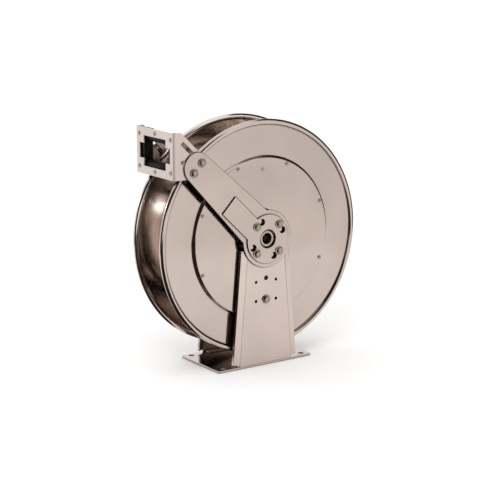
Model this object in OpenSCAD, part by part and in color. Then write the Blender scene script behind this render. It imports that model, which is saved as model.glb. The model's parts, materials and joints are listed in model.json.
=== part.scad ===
// Spring-rewind hose reel on two pedestals, with a four-roller hose guide.
// Millimetres, +Z up. The origin is the centre of the base plate's underside.
// The spool turns about an axis along Y; the guide box is towards -X.

/* [Spool] */
// Outer radius of the side discs, over the rolled rim
disc_r = 285; // [240:1:330]
// Width of the spool over the flat rings of its two discs
spool_w = 118; // [90:1:160]
// Sheet thickness of the discs
disc_t = 2; // [1.2:0.1:3]
// Radius of the section of the rolled rim
bead_r = 7; // [4:0.5:10]
// Wall of the rolled rim
bead_wall = 2; // [1:0.1:3]
// Radius of the raised centre of a disc
centre_r = 193; // [150:1:210]
// How far the raised centre stands out
centre_step = 8.5; // [4:0.5:14]
// Radial length of the sloped step round the raised centre
step_run = 5; // [2:0.5:12]
// Wall of the drum
drum_t = 2; // [1.2:0.1:4]
// Width of the drum's turned-in flanges
drum_flange_w = 14; // [12:0.5:30]
// Number of screws round each disc
disc_screws = 8; // [4:1:12]

/* [Base] */
// Length of the base plate, along X
base_w = 276; // [230:1:340]
// Thickness of the base plate
base_t = 6; // [3:0.5:12]
// Space between the discs' rims and the floor
floor_gap = 30; // [12:1:80]
// Radius of the mounting holes
base_hole_r = 7; // [4:0.5:9]
// Distance of the mounting holes from the plate's ends
hole_inset_x = 21; // [12:0.5:30]
// Distance of the mounting holes from the plate's sides
hole_inset_y = 14; // [10:0.5:24]
// Corner radius of the base plate
base_corner_r = 4; // [1:0.5:12]

/* [Pedestals] */
// Sheet thickness of a pedestal
pedestal_t = 3.5; // [2:0.5:5]
// Radius of a pedestal's round top, about the spool's axis
pedestal_top_r = 68; // [60:0.5:80]
// Lean of a pedestal's edges, in degrees
pedestal_taper = 4.77; // [2:0.01:8]
// Width of the set-back strip along each edge
strip_w = 17; // [8:0.5:26]
// How far that strip's outer edge is set back
strip_set = 4; // [1:0.5:5]
// Distance of the strips' upper ends below the axis
strip_top = 24; // [10:1:40]
// Depth of the lip turned in at the edge
lip_d = 8; // [6:0.5:9]
// Depth of the foot that lies on the base plate
foot_d = 24; // [15:1:40]
// Radius of the small accessory holes
small_hole_r = 3.5; // [2:0.5:5]
// Radius of the accessory hole on the centre line
centre_hole_r = 5.5; // [3:0.5:7]
// Half of the distance between the two columns of small holes
small_hole_x = 29.5; // [18:0.5:36]
// Depth of the centre hole below the axis
centre_hole_drop = 97; // [88:1:100]
// Depth of the upper small holes below the axis
upper_hole_drop = 104.5; // [96:0.5:112]
// Depth of the lower small holes below the axis
lower_hole_drop = 152; // [144:0.5:170]

/* [Guide arms] */
// Direction of the guide arms, in degrees from +X
guide_angle = 136; // [130:0.5:142]
// Thickness of a guide arm
arm_t = 4; // [3:0.5:8]
// Radius of a guide arm's hub end
arm_hub_r = 70; // [66:0.5:80]
// Half width of a guide arm where it leaves its hub end
arm_root_half = 50; // [40:0.5:60]
// Radius of a guide arm's outer end
arm_end_r = 37; // [32:0.5:44]
// How far inside the rim the centre of that outer end lies
arm_end_inset = 11.5; // [4:0.5:20]
// Thickness of a hub plate
hub_plate_t = 3.5; // [2:0.5:6]
// Radius of a hub plate
hub_plate_r = 60; // [58:0.5:66]
// Length of a hub plate's tail along the arm
tail_len = 146; // [100:1:180]
// Edge of the tail on the arm's lower side
tail_low = 37.5; // [30:0.5:42]
// Edge of the tail on the arm's upper side
tail_high = 16.5; // [8:0.5:36]
// Radius of the hub opening in pedestals, arms and hub plates
hub_opening_r = 22.5; // [21:0.5:26]
// Radius of the circle of hub bolts
hub_pitch_r = 46; // [44:0.5:47]
// Radius of the spare index holes between the hub bolts
index_hole_r = 8; // [5:0.5:8]

/* [Guide box] */
// Least distance between the discs' rims and the guide box
guide_gap = 3; // [2:0.5:20]
// Direction of the box's lower inner corner from the spool's axis, in degrees
box_corner_angle = 143.9; // [141:0.1:146]
// Sheet thickness of the roller bracket
bracket_t = 3; // [2:0.5:4]
// Outer bend radius of the roller bracket
bracket_bend_r = 6; // [4:0.5:12]
// Height of the roller bracket's face
bracket_h = 110; // [104:1:140]
// Half width of the bracket's tongues along the arms
tongue_half = 31; // [28:0.5:36]
// How far inside the rim the tongues' inner ends lie
tongue_inset = 40; // [33:1:49]
// Distance of the adjusting slots from those inner ends
slot_inset = 10; // [6:0.5:14]
// Distance between the two bolts at a guide arm's end
end_bolt_gap = 31; // [24:0.5:34]
// Length of the upper adjusting slot
upper_slot_len = 96; // [70:1:98]
// Length of the lower adjusting slot
lower_slot_len = 67; // [50:1:72]

/* [Rollers] */
// Radius of a guide roller
roller_r = 12.5; // [10:0.5:14]
// Clear height between the top and bottom rollers
guide_h = 44; // [36:0.5:46]
// Clear width between the front and rear rollers
guide_w = 89; // [70:0.5:92]
// Radius of the roller pins
roller_pin_r = 4; // [3:0.1:5]
// Depth of the roller cage behind the bracket's face
cage_d = 24; // [22:0.5:32]
// Wall of the roller cage outside the rollers
cage_wall = 3; // [2:0.5:4]
// Thickness of the corner retainers
retainer_t = 2; // [1:0.5:3]
// Distance of the roller axes behind the bracket's inner face
roller_set = 14; // [13.5:0.1:16]
// Distance of the corner rivets outside the upright rollers' axes
rivet_out = 11; // [9:0.5:12]
// Distance of the corner rivets outside the level rollers' axes
rivet_up = 4; // [2:0.5:6]
// Distance of the middle rivets outside the level rollers' axes
middle_rivet_up = 10; // [9:0.5:11.5]

/* [Shaft and bearings] */
// Radius of the main shaft
shaft_r = 19; // [17:0.5:20]
// Radius of the main shaft's bore
shaft_bore_r = 13.5; // [12:0.1:14]
// How far the shaft's front end lies inside the hub plate's face
shaft_end_set = 4.5; // [1:0.5:8]
// Radius of the shaft's nose, which the swivel turns on
nose_r = 15; // [14:0.1:16]
// Length of that nose
nose_l = 29; // [28.5:0.5:31]
// Radius of the nose's bore
nose_bore_r = 11; // [8:0.5:11.5]
// Length of the front bearing
front_bearing_l = 30; // [15:1:40]
// Wall of the arbor's and the housing's flanges
flange_t = 4; // [3:0.5:6]

/* [Spring motor] */
// Outer radius of the spring arbor's tube
arbor_r = 34; // [30:0.5:36]
// Room between the spring case's lip and the drum's flange
case_gap = 6.5; // [2:0.5:20]
// Width of the spring case's lip
case_lip_w = 11; // [9:0.5:16]
// Sheet thickness of the spring case
case_t = 2; // [1.5:0.1:3]
// Width of the power spring
spring_w = 48; // [38:1:49]
// Thickness of the power spring's strip
spring_t = 1.2; // [0.6:0.1:2]
// Turns of the power spring at rest
spring_turns = 9; // [5:1:14]

/* [Ratchet and pawl] */
// Outer radius of the ratchet wheel
ratchet_r = 66; // [62:0.5:68]
// Thickness of the ratchet wheel
ratchet_t = 7; // [6:0.5:9]
// Depth of the ratchet's notches
notch_d = 10; // [6:0.5:11]
// Width of a notch at its mouth
notch_mouth = 13; // [9:0.5:14]
// Width of a notch at its floor
notch_floor = 6; // [5:0.5:8]
// Angle between neighbouring notches, in degrees
notch_pitch = 16; // [14:0.5:30]
// Distance of the pawl's pivot below the spool's axis
pawl_drop = 150; // [130:1:160]
// Thickness of the pawl
pawl_t = 5; // [4:0.5:5.5]
// How deep the upright pawl would reach into the ratchet
pawl_bite = 6; // [4:0.5:7]

/* [Water path] */
// Outer radius of the riser between shaft and drum
riser_r = 10; // [8:0.5:11]
// Wall of the riser
riser_wall = 2.5; // [1.5:0.5:4]
// Distance of the riser behind the spool's middle
riser_set = 30; // [22:0.5:34]
// Radius of the swivel's body
swivel_r = 22; // [20:0.5:24]
// Radius of the threaded inlet port
inlet_r = 10.5; // [8:0.5:11]
// Length of the threaded inlet port
inlet_l = 18; // [12:1:22]
// Length of the inlet's neck between the swivel's body and its hexagon
inlet_neck = 10; // [4:1:30]
// Radius of the threaded hose outlet
outlet_r = 9; // [7:0.5:9.5]
// Length of the threaded hose outlet
outlet_l = 16; // [12:1:20]
// Distance of the hose outlet's end from the riser
outlet_reach = 34; // [32:1:50]

/* [Fasteners] */
// Radius of the flange bolts' shanks
bolt_r = 4.75; // [4:0.05:4.95]
// Room round a bolt in its hole
bolt_play = 0.35; // [0.1:0.05:0.5]
// Radius of a bolt's flange
bolt_flange_r = 10.5; // [9:0.5:11]
// Thickness of a bolt's flange
bolt_flange_t = 2; // [1:0.5:3]
// Width across flats of bolts and nuts
bolt_flats = 14.3; // [12:0.1:17]
// Height of the bolts' hexagons and of the nuts
hex_h = 6; // [4:0.5:6.5]
// Radius of the rivets
rivet_r = 2.5; // [2:0.1:3]
// Radius of the disc screws
screw_r = 2; // [1.5:0.1:3]

/* [Clearances] */
// Radial play of a shaft or pin in its bearing
run_play = 0.06; // [0.02:0.01:0.1]
// Gap between moving faces
move_gap = 1; // [0.5:0.1:1.5]
// Gap between a pin or rivet and the piece that holds it
seat_play = 0.05; // [0.02:0.01:0.1]
// Gap between the resting pawl and the ratchet
pawl_gap = 0.3; // [0.2:0.05:1]

/* [Hidden] */
$fn = 72;

steel = "#c9c0b8";
bright = "#ddd8d2";
dark = "#55504c";
black = "#1c1b1e";
bronze = "#b08a4a";
rubber = "#161616";

// Heights and distances outwards from the spool's middle plane
axis_z = disc_r + floor_gap;
ring_face = spool_w / 2;
centre_face = ring_face + centre_step;
centre_back = centre_face - disc_t;
ratchet_face = centre_face + ratchet_t;
flange_back = ratchet_face + move_gap;
pedestal_back = flange_back + flange_t;
pedestal_face = pedestal_back + pedestal_t;
arm_face = pedestal_face + arm_t;
hub_face = arm_face + hub_plate_t;
base_d = 2 * pedestal_face;
foot_y = base_t - axis_z;
overlap = 2;

// Hub
hub_bolts = 4;
bolt_turn = 180 / hub_bolts;
index_turn = bolt_turn / 2;
bolt_hole_r = bolt_r + bolt_play;
flange_r = hub_plate_r;
bearing_r = hub_opening_r - 0.1;
boss_r = shaft_r + 2 * flange_t;
centre_hole = arbor_r + 4 * move_gap;

// Drum
drum_r = centre_r - 1.5;
screw_pitch_r = drum_r - drum_flange_w / 3;
screw_turn = 180 / disc_screws;
case_r = drum_r - drum_flange_w - case_gap - case_lip_w;

// Guide box, in the plane across the axis: x along X, y above the axis
arm_len = disc_r - arm_end_inset;
tongue_start = disc_r - tongue_inset;
roller_v = guide_h / 2 + roller_r;
roller_y = guide_w / 2 + roller_r;
cage_half_h = roller_v + roller_r + cage_wall;
cage_half_w = roller_y + roller_r + 1.5 * cage_wall + move_gap;
corner_reach = disc_r + guide_gap;
cage_back_x = corner_reach * cos(box_corner_angle);
box_y = corner_reach * sin(box_corner_angle) + cage_half_h;
bracket_in_x = cage_back_x - cage_d;
face_x = bracket_in_x - bracket_t;
end_bolt_n = end_bolt_gap / 2;

// Pawl
pawl_len = pawl_drop - ratchet_r + pawl_bite;
pawl_tip_r = 2.5;
pawl_arm = pawl_len - pawl_tip_r;
pawl_reach = ratchet_r + pawl_gap + pawl_tip_r;
pawl_lean = acos((pow(pawl_drop, 2) + pow(pawl_arm, 2) - pow(pawl_reach, 2))
                 / (2 * pawl_drop * pawl_arm));
pawl_pin_r = 5;
pawl_front = pedestal_back - flange_t;
pawl_back = pawl_front - pawl_t;
retainer_h = 1.8;

// Swivel, as distances behind the spool's middle plane
nose_start = hub_face + 0.5;
nose_end = nose_start + nose_l;
swivel_start = nose_start + 2;
seat_end = nose_end - 4;
chamber_r = nose_r + 3;
port_y = seat_end + 9;
cap_depth = 5;
swivel_end = port_y + inlet_r + cap_depth;
clip_t = 1.1;
clip_end = nose_end - 1.6;

// A point at a distance along the guide arm and a distance above its centre line
function arm_point(along, above) = [
    along * cos(guide_angle) + above * sin(guide_angle),
    along * sin(guide_angle) - above * cos(guide_angle)
];
// Where a line parallel to the arm crosses a height above the axis
function arm_cross(y, above) =
    let (along = (y + above * cos(guide_angle)) / sin(guide_angle)) arm_point(along, above);
// Points of a spiral
function spiral(r0, r1, turns, steps) = [
    for (i = [0 : turns * steps])
        let (r = r0 + (r1 - r0) * i / (turns * steps), a = 360 * i / steps)
        [r * cos(a), r * sin(a)]
];
function reversed(list) = [for (i = [len(list) - 1 : -1 : 0]) list[i]];

// Puts a shape on the spool's axis: x stays, y becomes height, z points out to the front
module on_axis() {
    translate([0, 0, axis_z]) rotate([90, 0, 0]) children();
}

module on_rear() {
    mirror([0, 1, 0]) on_axis() children();
}

module plate(from, to) {
    translate([0, 0, from]) linear_extrude(to - from) children();
}

module disc_ring(r_out, r_in, from, to) {
    translate([0, 0, from]) difference() {
        cylinder(r = r_out, h = to - from);
        translate([0, 0, -1]) cylinder(r = r_in, h = to - from + 2);
    }
}

module around(count, r, start = 0) {
    for (i = [0 : count - 1]) rotate([0, 0, start + 360 * i / count]) translate([r, 0, 0]) children();
}

module hexagon(flats, h) {
    cylinder(r = flats / 2 / cos(30), h = h, $fn = 6);
}

// Hexagon flange bolt: z = 0 is under its flange, the shank points to -z
module flange_bolt(shank_l, r = bolt_r) {
    cylinder(r = bolt_flange_r, h = bolt_flange_t);
    difference() {
        hexagon(bolt_flats, bolt_flange_t + hex_h);
        translate([0, 0, bolt_flange_t + hex_h - 1]) cylinder(r = bolt_flats / 3.2, h = 2);
    }
    translate([0, 0, -shank_l]) cylinder(r = r, h = shank_l + 1);
}

module rounded_rectangle(w, h, r) {
    square([w - 2 * r, h], center = true);
    square([w, h - 2 * r], center = true);
    for (x = [-1, 1], y = [-1, 1]) translate([x * (w / 2 - r), y * (h / 2 - r)]) circle(r = r);
}

// ---- Frame -------------------------------------------------------------

module base_plate() {
    color(steel) difference() {
        linear_extrude(base_t) rounded_rectangle(base_w, base_d, base_corner_r);
        for (x = [-1, 1], y = [-1, 1])
            translate([x * (base_w / 2 - hole_inset_x), y * (base_d / 2 - hole_inset_y), -1])
                cylinder(r = base_hole_r, h = base_t + 2);
    }
}

// Set-back strip with its turned-in lip, along the right edge
module pedestal_strip() {
    section = [
        [pedestal_top_r - strip_w - overlap, pedestal_face],
        [pedestal_top_r - strip_w, pedestal_face],
        [pedestal_top_r, pedestal_face - strip_set],
        [pedestal_top_r, pedestal_face - strip_set - lip_d],
        [pedestal_top_r - pedestal_t, pedestal_face - strip_set - lip_d],
        [pedestal_top_r - pedestal_t, pedestal_face - strip_set - pedestal_t],
        [pedestal_top_r - strip_w, pedestal_back],
        [pedestal_top_r - strip_w - overlap, pedestal_back]
    ];
    reach = 1.2 * axis_z;
    intersection() {
        rotate([0, 0, pedestal_taper]) translate([0, pedestal_top_r, 0]) rotate([90, 0, 0])
            linear_extrude(reach) polygon(section);
        translate([0, foot_y, 0])
            cube([2 * pedestal_top_r, -foot_y - strip_top, 2 * pedestal_face]);
    }
}

module pedestal_outline() {
    top_half = (pedestal_top_r - strip_w - overlap / 2) / cos(pedestal_taper);
    foot_half = top_half - foot_y * tan(pedestal_taper);
    polygon([[-foot_half, foot_y], [foot_half, foot_y], [top_half, 0], [-top_half, 0]]);
    difference() {
        circle(r = pedestal_top_r);
        translate([-pedestal_top_r, -2 * pedestal_top_r - strip_top - overlap / 2])
            square(2 * pedestal_top_r);
    }
}

module pedestal() {
    foot_half = pedestal_top_r - strip_w - 3 * overlap - foot_y * tan(pedestal_taper);
    difference() {
        union() {
            plate(pedestal_back, pedestal_face) pedestal_outline();
            pedestal_strip();
            mirror([1, 0, 0]) pedestal_strip();
            translate([-foot_half, foot_y, pedestal_face - foot_d])
                cube([2 * foot_half, pedestal_t, foot_d - pedestal_t / 2]);
        }
        plate(pedestal_back - 1, pedestal_face + 1) {
            circle(r = hub_opening_r);
            translate([0, -centre_hole_drop]) circle(r = centre_hole_r);
            for (x = [-small_hole_x, small_hole_x], drop = [upper_hole_drop, lower_hole_drop])
                translate([x, -drop]) circle(r = small_hole_r);
            translate([0, -pawl_drop]) circle(r = pawl_pin_r + bolt_play);
        }
        translate([0, 0, pedestal_back - 1])
            around(hub_bolts, hub_pitch_r, bolt_turn) cylinder(r = bolt_hole_r, h = pedestal_t + 2);
    }
}

module arm_outline() {
    tip = [arm_len, arm_end_r];
    circle(r = arm_hub_r);
    rotate([0, 0, guide_angle]) {
        translate([arm_len, 0]) circle(r = arm_end_r);
        polygon([
            [0, -arm_root_half], [arm_root_half, -arm_root_half], [tip[0], -tip[1]],
            tip, [arm_root_half, arm_root_half], [0, arm_root_half]
        ]);
    }
}

// Bolt holes and spare index holes round the hub
module hub_holes(h) {
    translate([0, 0, -1]) {
        cylinder(r = hub_opening_r, h = h + 2);
        around(hub_bolts, hub_pitch_r, bolt_turn) cylinder(r = bolt_hole_r, h = h + 2);
        around(hub_bolts, hub_pitch_r, index_turn) cylinder(r = index_hole_r, h = h + 2);
    }
}

module end_bolt_places() {
    for (n = [-end_bolt_n, end_bolt_n]) translate(arm_point(arm_len, n)) children();
}

module guide_arm() {
    difference() {
        plate(pedestal_face, arm_face) arm_outline();
        translate([0, 0, pedestal_face]) {
            hub_holes(arm_t);
            translate([0, 0, -1]) end_bolt_places() cylinder(r = bolt_hole_r, h = arm_t + 2);
        }
    }
}

module hub_plate() {
    difference() {
        plate(arm_face, hub_face) {
            circle(r = hub_plate_r);
            rotate([0, 0, guide_angle]) translate([0, -tail_high])
                square([tail_len, tail_high + tail_low]);
        }
        translate([0, 0, arm_face]) hub_holes(hub_plate_t);
    }
}

// Side view of the roller bracket: its face and the tongues along the arms
module bracket_side() {
    low = box_y - bracket_h / 2;
    high = box_y + bracket_h / 2;
    polygon([
        [face_x, low], [face_x, high], arm_cross(high, tongue_half),
        arm_point(tongue_start, tongue_half), arm_point(tongue_start, -tongue_half),
        arm_cross(low, -tongue_half)
    ]);
}

module channel_section(inset) {
    r = bracket_bend_r - inset;
    half = pedestal_face - inset;
    x0 = face_x + inset;
    translate([x0 + r, -half]) square([-x0, 2 * half]);
    translate([x0, -half + r]) square([r + 1, 2 * half - 2 * r]);
    for (side = [-1, 1]) translate([x0 + r, side * (half - r)]) circle(r = r);
}

// A slot along the arm, from its inner end, as a cut through both side plates
module arm_slot(above, length) {
    start = tongue_start + slot_inset;
    translate([0, 0, -hub_face]) linear_extrude(2 * hub_face) {
        rotate([0, 0, guide_angle]) translate([start, -above - bolt_hole_r])
            square([length - 2 * bolt_hole_r, 2 * bolt_hole_r]);
        for (along = [start, start + length - 2 * bolt_hole_r])
            translate(arm_point(along, above)) circle(r = bolt_hole_r);
    }
}

// The plus-shaped window, in the plane of the bracket's face: x along Y, y up from the box's middle
module window_outline() {
    side_room = 3;
    rise = 1.5;
    half_width = roller_y + 9;
    inset = 4;
    square([guide_w + 2 * side_room, 2 * (roller_v + rise)], center = true);
    square([2 * half_width, guide_h - 2 * inset], center = true);
}

// Puts a flat shape in the plane of the bracket's face, with z pointing back towards the spool
module at_face(x) {
    translate([x, 0, axis_z + box_y]) rotate([90, 0, 90]) children();
}

module rivet_places() {
    for (y = [-1, 1], v = [-1, 1]) translate([y * (roller_y + rivet_out), v * (roller_v + rivet_up)]) children();
}

module tie_rivet_places() {
    for (v = [-1, 1]) translate([0, v * (roller_v + middle_rivet_up)]) children();
}

module roller_bracket() {
    color(steel) difference() {
        intersection() {
            translate([0, 0, axis_z]) linear_extrude(2 * disc_r)
                difference() {
                    channel_section(0);
                    channel_section(bracket_t);
                }
            translate([0, hub_face, axis_z]) rotate([90, 0, 0])
                linear_extrude(2 * hub_face) bracket_side();
        }
        at_face(face_x - 1) linear_extrude(bracket_t + 2) {
            window_outline();
            rivet_places() circle(r = rivet_r + seat_play);
            tie_rivet_places() circle(r = rivet_r + seat_play);
        }
        on_axis() arm_slot(end_bolt_n, upper_slot_len);
        on_axis() arm_slot(-end_bolt_n, lower_slot_len);
    }
}

// Roller places, across the face: x along Y, y up, z back from the bracket's inner face
block_y = guide_w / 2 + 0.25;
block_v = guide_h / 2 + 0.25;
across_pin_half = roller_y - roller_pin_r - move_gap;
upright_pin_half = roller_v - roller_pin_r - 0.5;
tie_t = roller_set - roller_r + 2;

module roller_cage() {
    depth = cage_d - seat_play;
    tie_from = roller_v + middle_rivet_up - 2;
    color(black) at_face(bracket_in_x) difference() {
        union() {
            for (y = [-1, 1]) {
                for (v = [-1, 1])
                    scale([y, v, 1]) translate([block_y, block_v, 0])
                        cube([cage_half_w - block_y, cage_half_h - block_v, depth]);
                scale([y, 1, 1]) translate([roller_y + roller_r + move_gap, -block_v - 1, 0])
                    cube([cage_half_w - roller_y - roller_r - move_gap, 2 * block_v + 2, depth]);
            }
            for (v = [-1, 1])
                scale([1, v, 1]) translate([-block_y - 1, tie_from, 0])
                    cube([2 * block_y + 2, cage_half_h - tie_from, tie_t]);
        }
        for (v = [-1, 1])
            translate([-across_pin_half - seat_play, v * roller_v - roller_pin_r - seat_play, roller_set])
                cube([2 * (across_pin_half + seat_play), 2 * (roller_pin_r + seat_play), cage_d]);
        for (v = [-1, 1])
            translate([-across_pin_half - seat_play, v * roller_v, roller_set]) rotate([0, 90, 0])
                cylinder(r = roller_pin_r + seat_play, h = 2 * (across_pin_half + seat_play));
        for (y = [-1, 1]) {
            translate([y * roller_y - roller_pin_r - seat_play, -upright_pin_half - seat_play, roller_set])
                cube([2 * (roller_pin_r + seat_play), 2 * (upright_pin_half + seat_play), cage_d]);
            translate([y * roller_y, upright_pin_half + seat_play, roller_set]) rotate([90, 0, 0])
                cylinder(r = roller_pin_r + seat_play, h = 2 * (upright_pin_half + seat_play));
        }
        translate([0, 0, -1]) {
            rivet_places() cylinder(r = rivet_r + seat_play, h = cage_d + 2);
            tie_rivet_places() cylinder(r = rivet_r + seat_play, h = cage_d + 2);
        }
    }
}

module cage_retainers() {
    color(bright) at_face(cage_back_x) for (y = [-1, 1], v = [-1, 1]) scale([y, v, 1])
        difference() {
            translate([block_y + 1, block_v + 1, 0])
                cube([cage_half_w - block_y - 1, cage_half_h - block_v - 2 * cage_wall, retainer_t]);
            translate([roller_y + rivet_out, roller_v + rivet_up, -1])
                cylinder(r = rivet_r + seat_play, h = retainer_t + 2);
        }
}

module roller_pins() {
    color(bright) at_face(bracket_in_x) translate([0, 0, roller_set]) {
        for (v = [-1, 1]) translate([-across_pin_half, v * roller_v, 0]) rotate([0, 90, 0])
            cylinder(r = roller_pin_r, h = 2 * across_pin_half);
        for (y = [-1, 1]) translate([y * roller_y, upright_pin_half, 0]) rotate([90, 0, 0])
            cylinder(r = roller_pin_r, h = 2 * upright_pin_half);
    }
}

module cage_rivets() {
    head_h = 1.5;
    head_r = 1.8 * rivet_r;
    long = bracket_t + cage_d + retainer_t;
    short = bracket_t + tie_t;
    color(bright) at_face(face_x) {
        rivet_places() {
            translate([0, 0, -head_h]) cylinder(r = head_r, h = head_h);
            translate([0, 0, -head_h]) cylinder(r = rivet_r, h = long + 2 * head_h);
            translate([0, 0, long]) cylinder(r = head_r, h = head_h);
        }
        tie_rivet_places() {
            translate([0, 0, -head_h]) cylinder(r = head_r, h = head_h);
            translate([0, 0, -head_h]) cylinder(r = rivet_r, h = short + head_h);
        }
    }
}

module arm_end_bolts() {
    shank = arm_t + bracket_t + hex_h + 3;
    color(bright) {
        on_axis() translate([0, 0, arm_face]) end_bolt_places() flange_bolt(shank);
        on_rear() translate([0, 0, arm_face]) end_bolt_places() flange_bolt(shank);
    }
}

module arm_end_nut_set() {
    translate([0, 0, pedestal_face - bracket_t - hex_h]) end_bolt_places() difference() {
        union() {
            hexagon(bolt_flats, hex_h);
            translate([0, 0, hex_h - bolt_flange_t]) cylinder(r = bolt_flange_r, h = bolt_flange_t);
        }
        translate([0, 0, -1]) cylinder(r = bolt_r + seat_play, h = hex_h + 2);
    }
}

module arm_end_nuts() {
    color(bright) {
        on_axis() arm_end_nut_set();
        on_rear() arm_end_nut_set();
    }
}

module hub_bolt_set() {
    color(bright) translate([0, 0, hub_face]) around(hub_bolts, hub_pitch_r, bolt_turn)
        flange_bolt(hub_face - flange_back);
}

module hub_flange_holes(h) {
    around(hub_bolts, hub_pitch_r, bolt_turn) cylinder(r = bolt_r + seat_play, h = h);
}

// Flanged tube that the spring winds on; the shaft runs in its bearing
module spring_arbor() {
    inner_end = centre_back - case_t - spring_w - 2 * move_gap;
    tang_d = 6;
    color(dark) on_axis() difference() {
        union() {
            translate([0, 0, flange_back]) cylinder(r = flange_r, h = flange_t);
            translate([0, 0, inner_end]) cylinder(r = arbor_r, h = flange_back - inner_end + 1);
        }
        translate([0, 0, pedestal_back - front_bearing_l - seat_play])
            cylinder(r = bearing_r + seat_play, h = front_bearing_l + 1);
        translate([0, 0, inner_end - 1]) cylinder(r = shaft_r + move_gap, h = 2 * pedestal_back);
        translate([0, 0, flange_back - 1]) hub_flange_holes(flange_t + 2);
        translate([arbor_r - tang_d, -spring_t, inner_end - 1])
            cube([tang_d + 1, 2 * spring_t, spring_w + 2]);
    }
}

module front_bearing() {
    color(bronze) on_axis()
        disc_ring(bearing_r, shaft_r + run_play, pedestal_back - front_bearing_l, pedestal_back);
}

boss_end = centre_face + 2 * move_gap;
boss_wall = 8;

module rear_bearing_housing() {
    color(dark) on_rear() difference() {
        union() {
            translate([0, 0, flange_back]) cylinder(r = flange_r, h = flange_t);
            translate([0, 0, boss_end]) cylinder(r = bearing_r + boss_wall, h = flange_back - boss_end + 1);
        }
        translate([0, 0, boss_end - 1]) cylinder(r = bearing_r + seat_play, h = pedestal_back);
        translate([0, 0, flange_back - 1]) hub_flange_holes(flange_t + 2);
    }
}

module rear_bearing() {
    color(bronze) on_rear() disc_ring(bearing_r, shaft_r + run_play, boss_end, hub_face);
}

// ---- Latch -------------------------------------------------------------

module at_pawl() {
    on_axis() translate([0, -pawl_drop, 0]) children();
}

module pawl_bolt() {
    end = pawl_back - retainer_h + 0.2;
    color(bright) at_pawl() translate([0, 0, pedestal_face])
        flange_bolt(pedestal_face - end, pawl_pin_r);
}

module pawl_spacer() {
    color(bright) at_pawl() disc_ring(pawl_pin_r + 2, pawl_pin_r + seat_play, pawl_front + 0.1, pedestal_back);
}

module pawl_retainer() {
    color(bright) at_pawl()
        disc_ring(pawl_pin_r + 4, pawl_pin_r + seat_play, pawl_back - retainer_h, pawl_back - 0.1);
}

// Chamfered hook of a pawl: z = 0 at its back, pivot at the origin, pointing up
module latch_pawl() {
    root_half = pawl_pin_r + 6;
    color(steel) at_pawl() translate([0, 0, pawl_back]) rotate([0, 0, -pawl_lean]) difference() {
        linear_extrude(pawl_t) {
            circle(r = root_half);
            translate([0, pawl_arm]) circle(r = pawl_tip_r);
            polygon([
                [-root_half, 0], [root_half, 0], [root_half - 2, pawl_arm * 0.7],
                [pawl_tip_r, pawl_arm], [-pawl_tip_r, pawl_arm], [-root_half + 4, pawl_arm * 0.8]
            ]);
        }
        translate([0, 0, -1]) cylinder(r = pawl_pin_r + run_play, h = pawl_t + 2);
        translate([0, pawl_arm / 2, -1]) cylinder(r = pawl_pin_r, h = pawl_t + 2);
    }
}

// Torsion spring round the spacer; its long leg presses the pawl towards the ratchet
function coil_route(r, z0, rise, turns, steps) = [
    for (i = [0 : turns * steps]) let (a = 90 - pawl_lean - 360 * i / steps)
        [r * cos(a), r * sin(a), z0 + rise * i / (turns * steps)]
];
wire_r = 0.6;
coil_r = pawl_pin_r + 2 + wire_r + 0.3;
long_leg_l = 26;
long_leg_drop = 12;
short_leg_l = 18;
short_leg_rise = 6;

module wire_link(a, b) {
    hull() {
        translate(a) sphere(r = wire_r, $fn = 8);
        translate(b) sphere(r = wire_r, $fn = 8);
    }
}

module pawl_spring() {
    z0 = pawl_front + wire_r + 0.3;
    route = coil_route(coil_r, z0, flange_t - 2 * wire_r - 0.6, 2, 14);
    last = route[len(route) - 1];
    color(bright) at_pawl() {
        for (i = [0 : len(route) - 2]) wire_link(route[i], route[i + 1]);
        wire_link(last, last + [long_leg_l, -long_leg_drop, 0]);
        wire_link(route[0], route[0] + [-short_leg_l, short_leg_rise, 0]);
    }
}

// ---- Spool -------------------------------------------------------------

module main_shaft() {
    front_end = hub_face - shaft_end_set;
    color(bright) on_axis() difference() {
        union() {
            translate([0, 0, -nose_start]) cylinder(r = shaft_r, h = nose_start + front_end);
            translate([0, 0, -nose_end]) cylinder(r = nose_r, h = nose_l + 1);
        }
        translate([0, 0, -hub_face]) cylinder(r = shaft_bore_r, h = 2 * hub_face);
        translate([0, 0, -nose_end - 1]) cylinder(r = nose_bore_r, h = nose_end);
        translate([0, 0, -riser_set]) rotate([90, 0, 0]) cylinder(r = riser_r + seat_play, h = 2 * shaft_r);
        disc_ring(nose_r + 1, nose_r - 1, -clip_end - 0.1, -clip_end + clip_t + 0.1);
    }
}

plug_l = 12;
plug_from = 20;

module shaft_plug() {
    color(dark) on_axis()
        disc_ring(shaft_bore_r - seat_play, shaft_bore_r / 3, plug_from, plug_from + plug_l);
}

hub_flange_t = 1.25 * flange_t;
hub_boss_l = 3 * flange_t;
hub_screw_r = 1.2 * rivet_r;
hub_screws = 6;
flange_in = centre_back - hub_flange_t;

module hub_flange() {
    color(steel) on_rear() difference() {
        union() {
            translate([0, 0, flange_in]) cylinder(r = flange_r, h = centre_back - flange_in);
            translate([0, 0, flange_in - hub_boss_l]) cylinder(r = boss_r, h = hub_boss_l + 1);
        }
        translate([0, 0, flange_in - hub_boss_l - 1])
            cylinder(r = shaft_r + seat_play, h = centre_face);
        translate([0, 0, flange_in - 1]) around(hub_screws, hub_pitch_r)
            cylinder(r = hub_screw_r + seat_play, h = hub_flange_t + 2);
    }
}

module hub_flange_bolts() {
    color(bright) on_rear() around(hub_screws, hub_pitch_r) {
        translate([0, 0, centre_face]) cylinder(r = 1.8 * hub_screw_r, h = hub_screw_r);
        translate([0, 0, flange_in - 1]) cylinder(r = hub_screw_r, h = centre_face - flange_in + 2);
    }
}

module thrust_washer() {
    color(bronze) on_rear() 
        disc_ring(bearing_r + boss_wall - 2, shaft_r + seat_play, centre_face, boss_end - 0.1);
}

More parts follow.
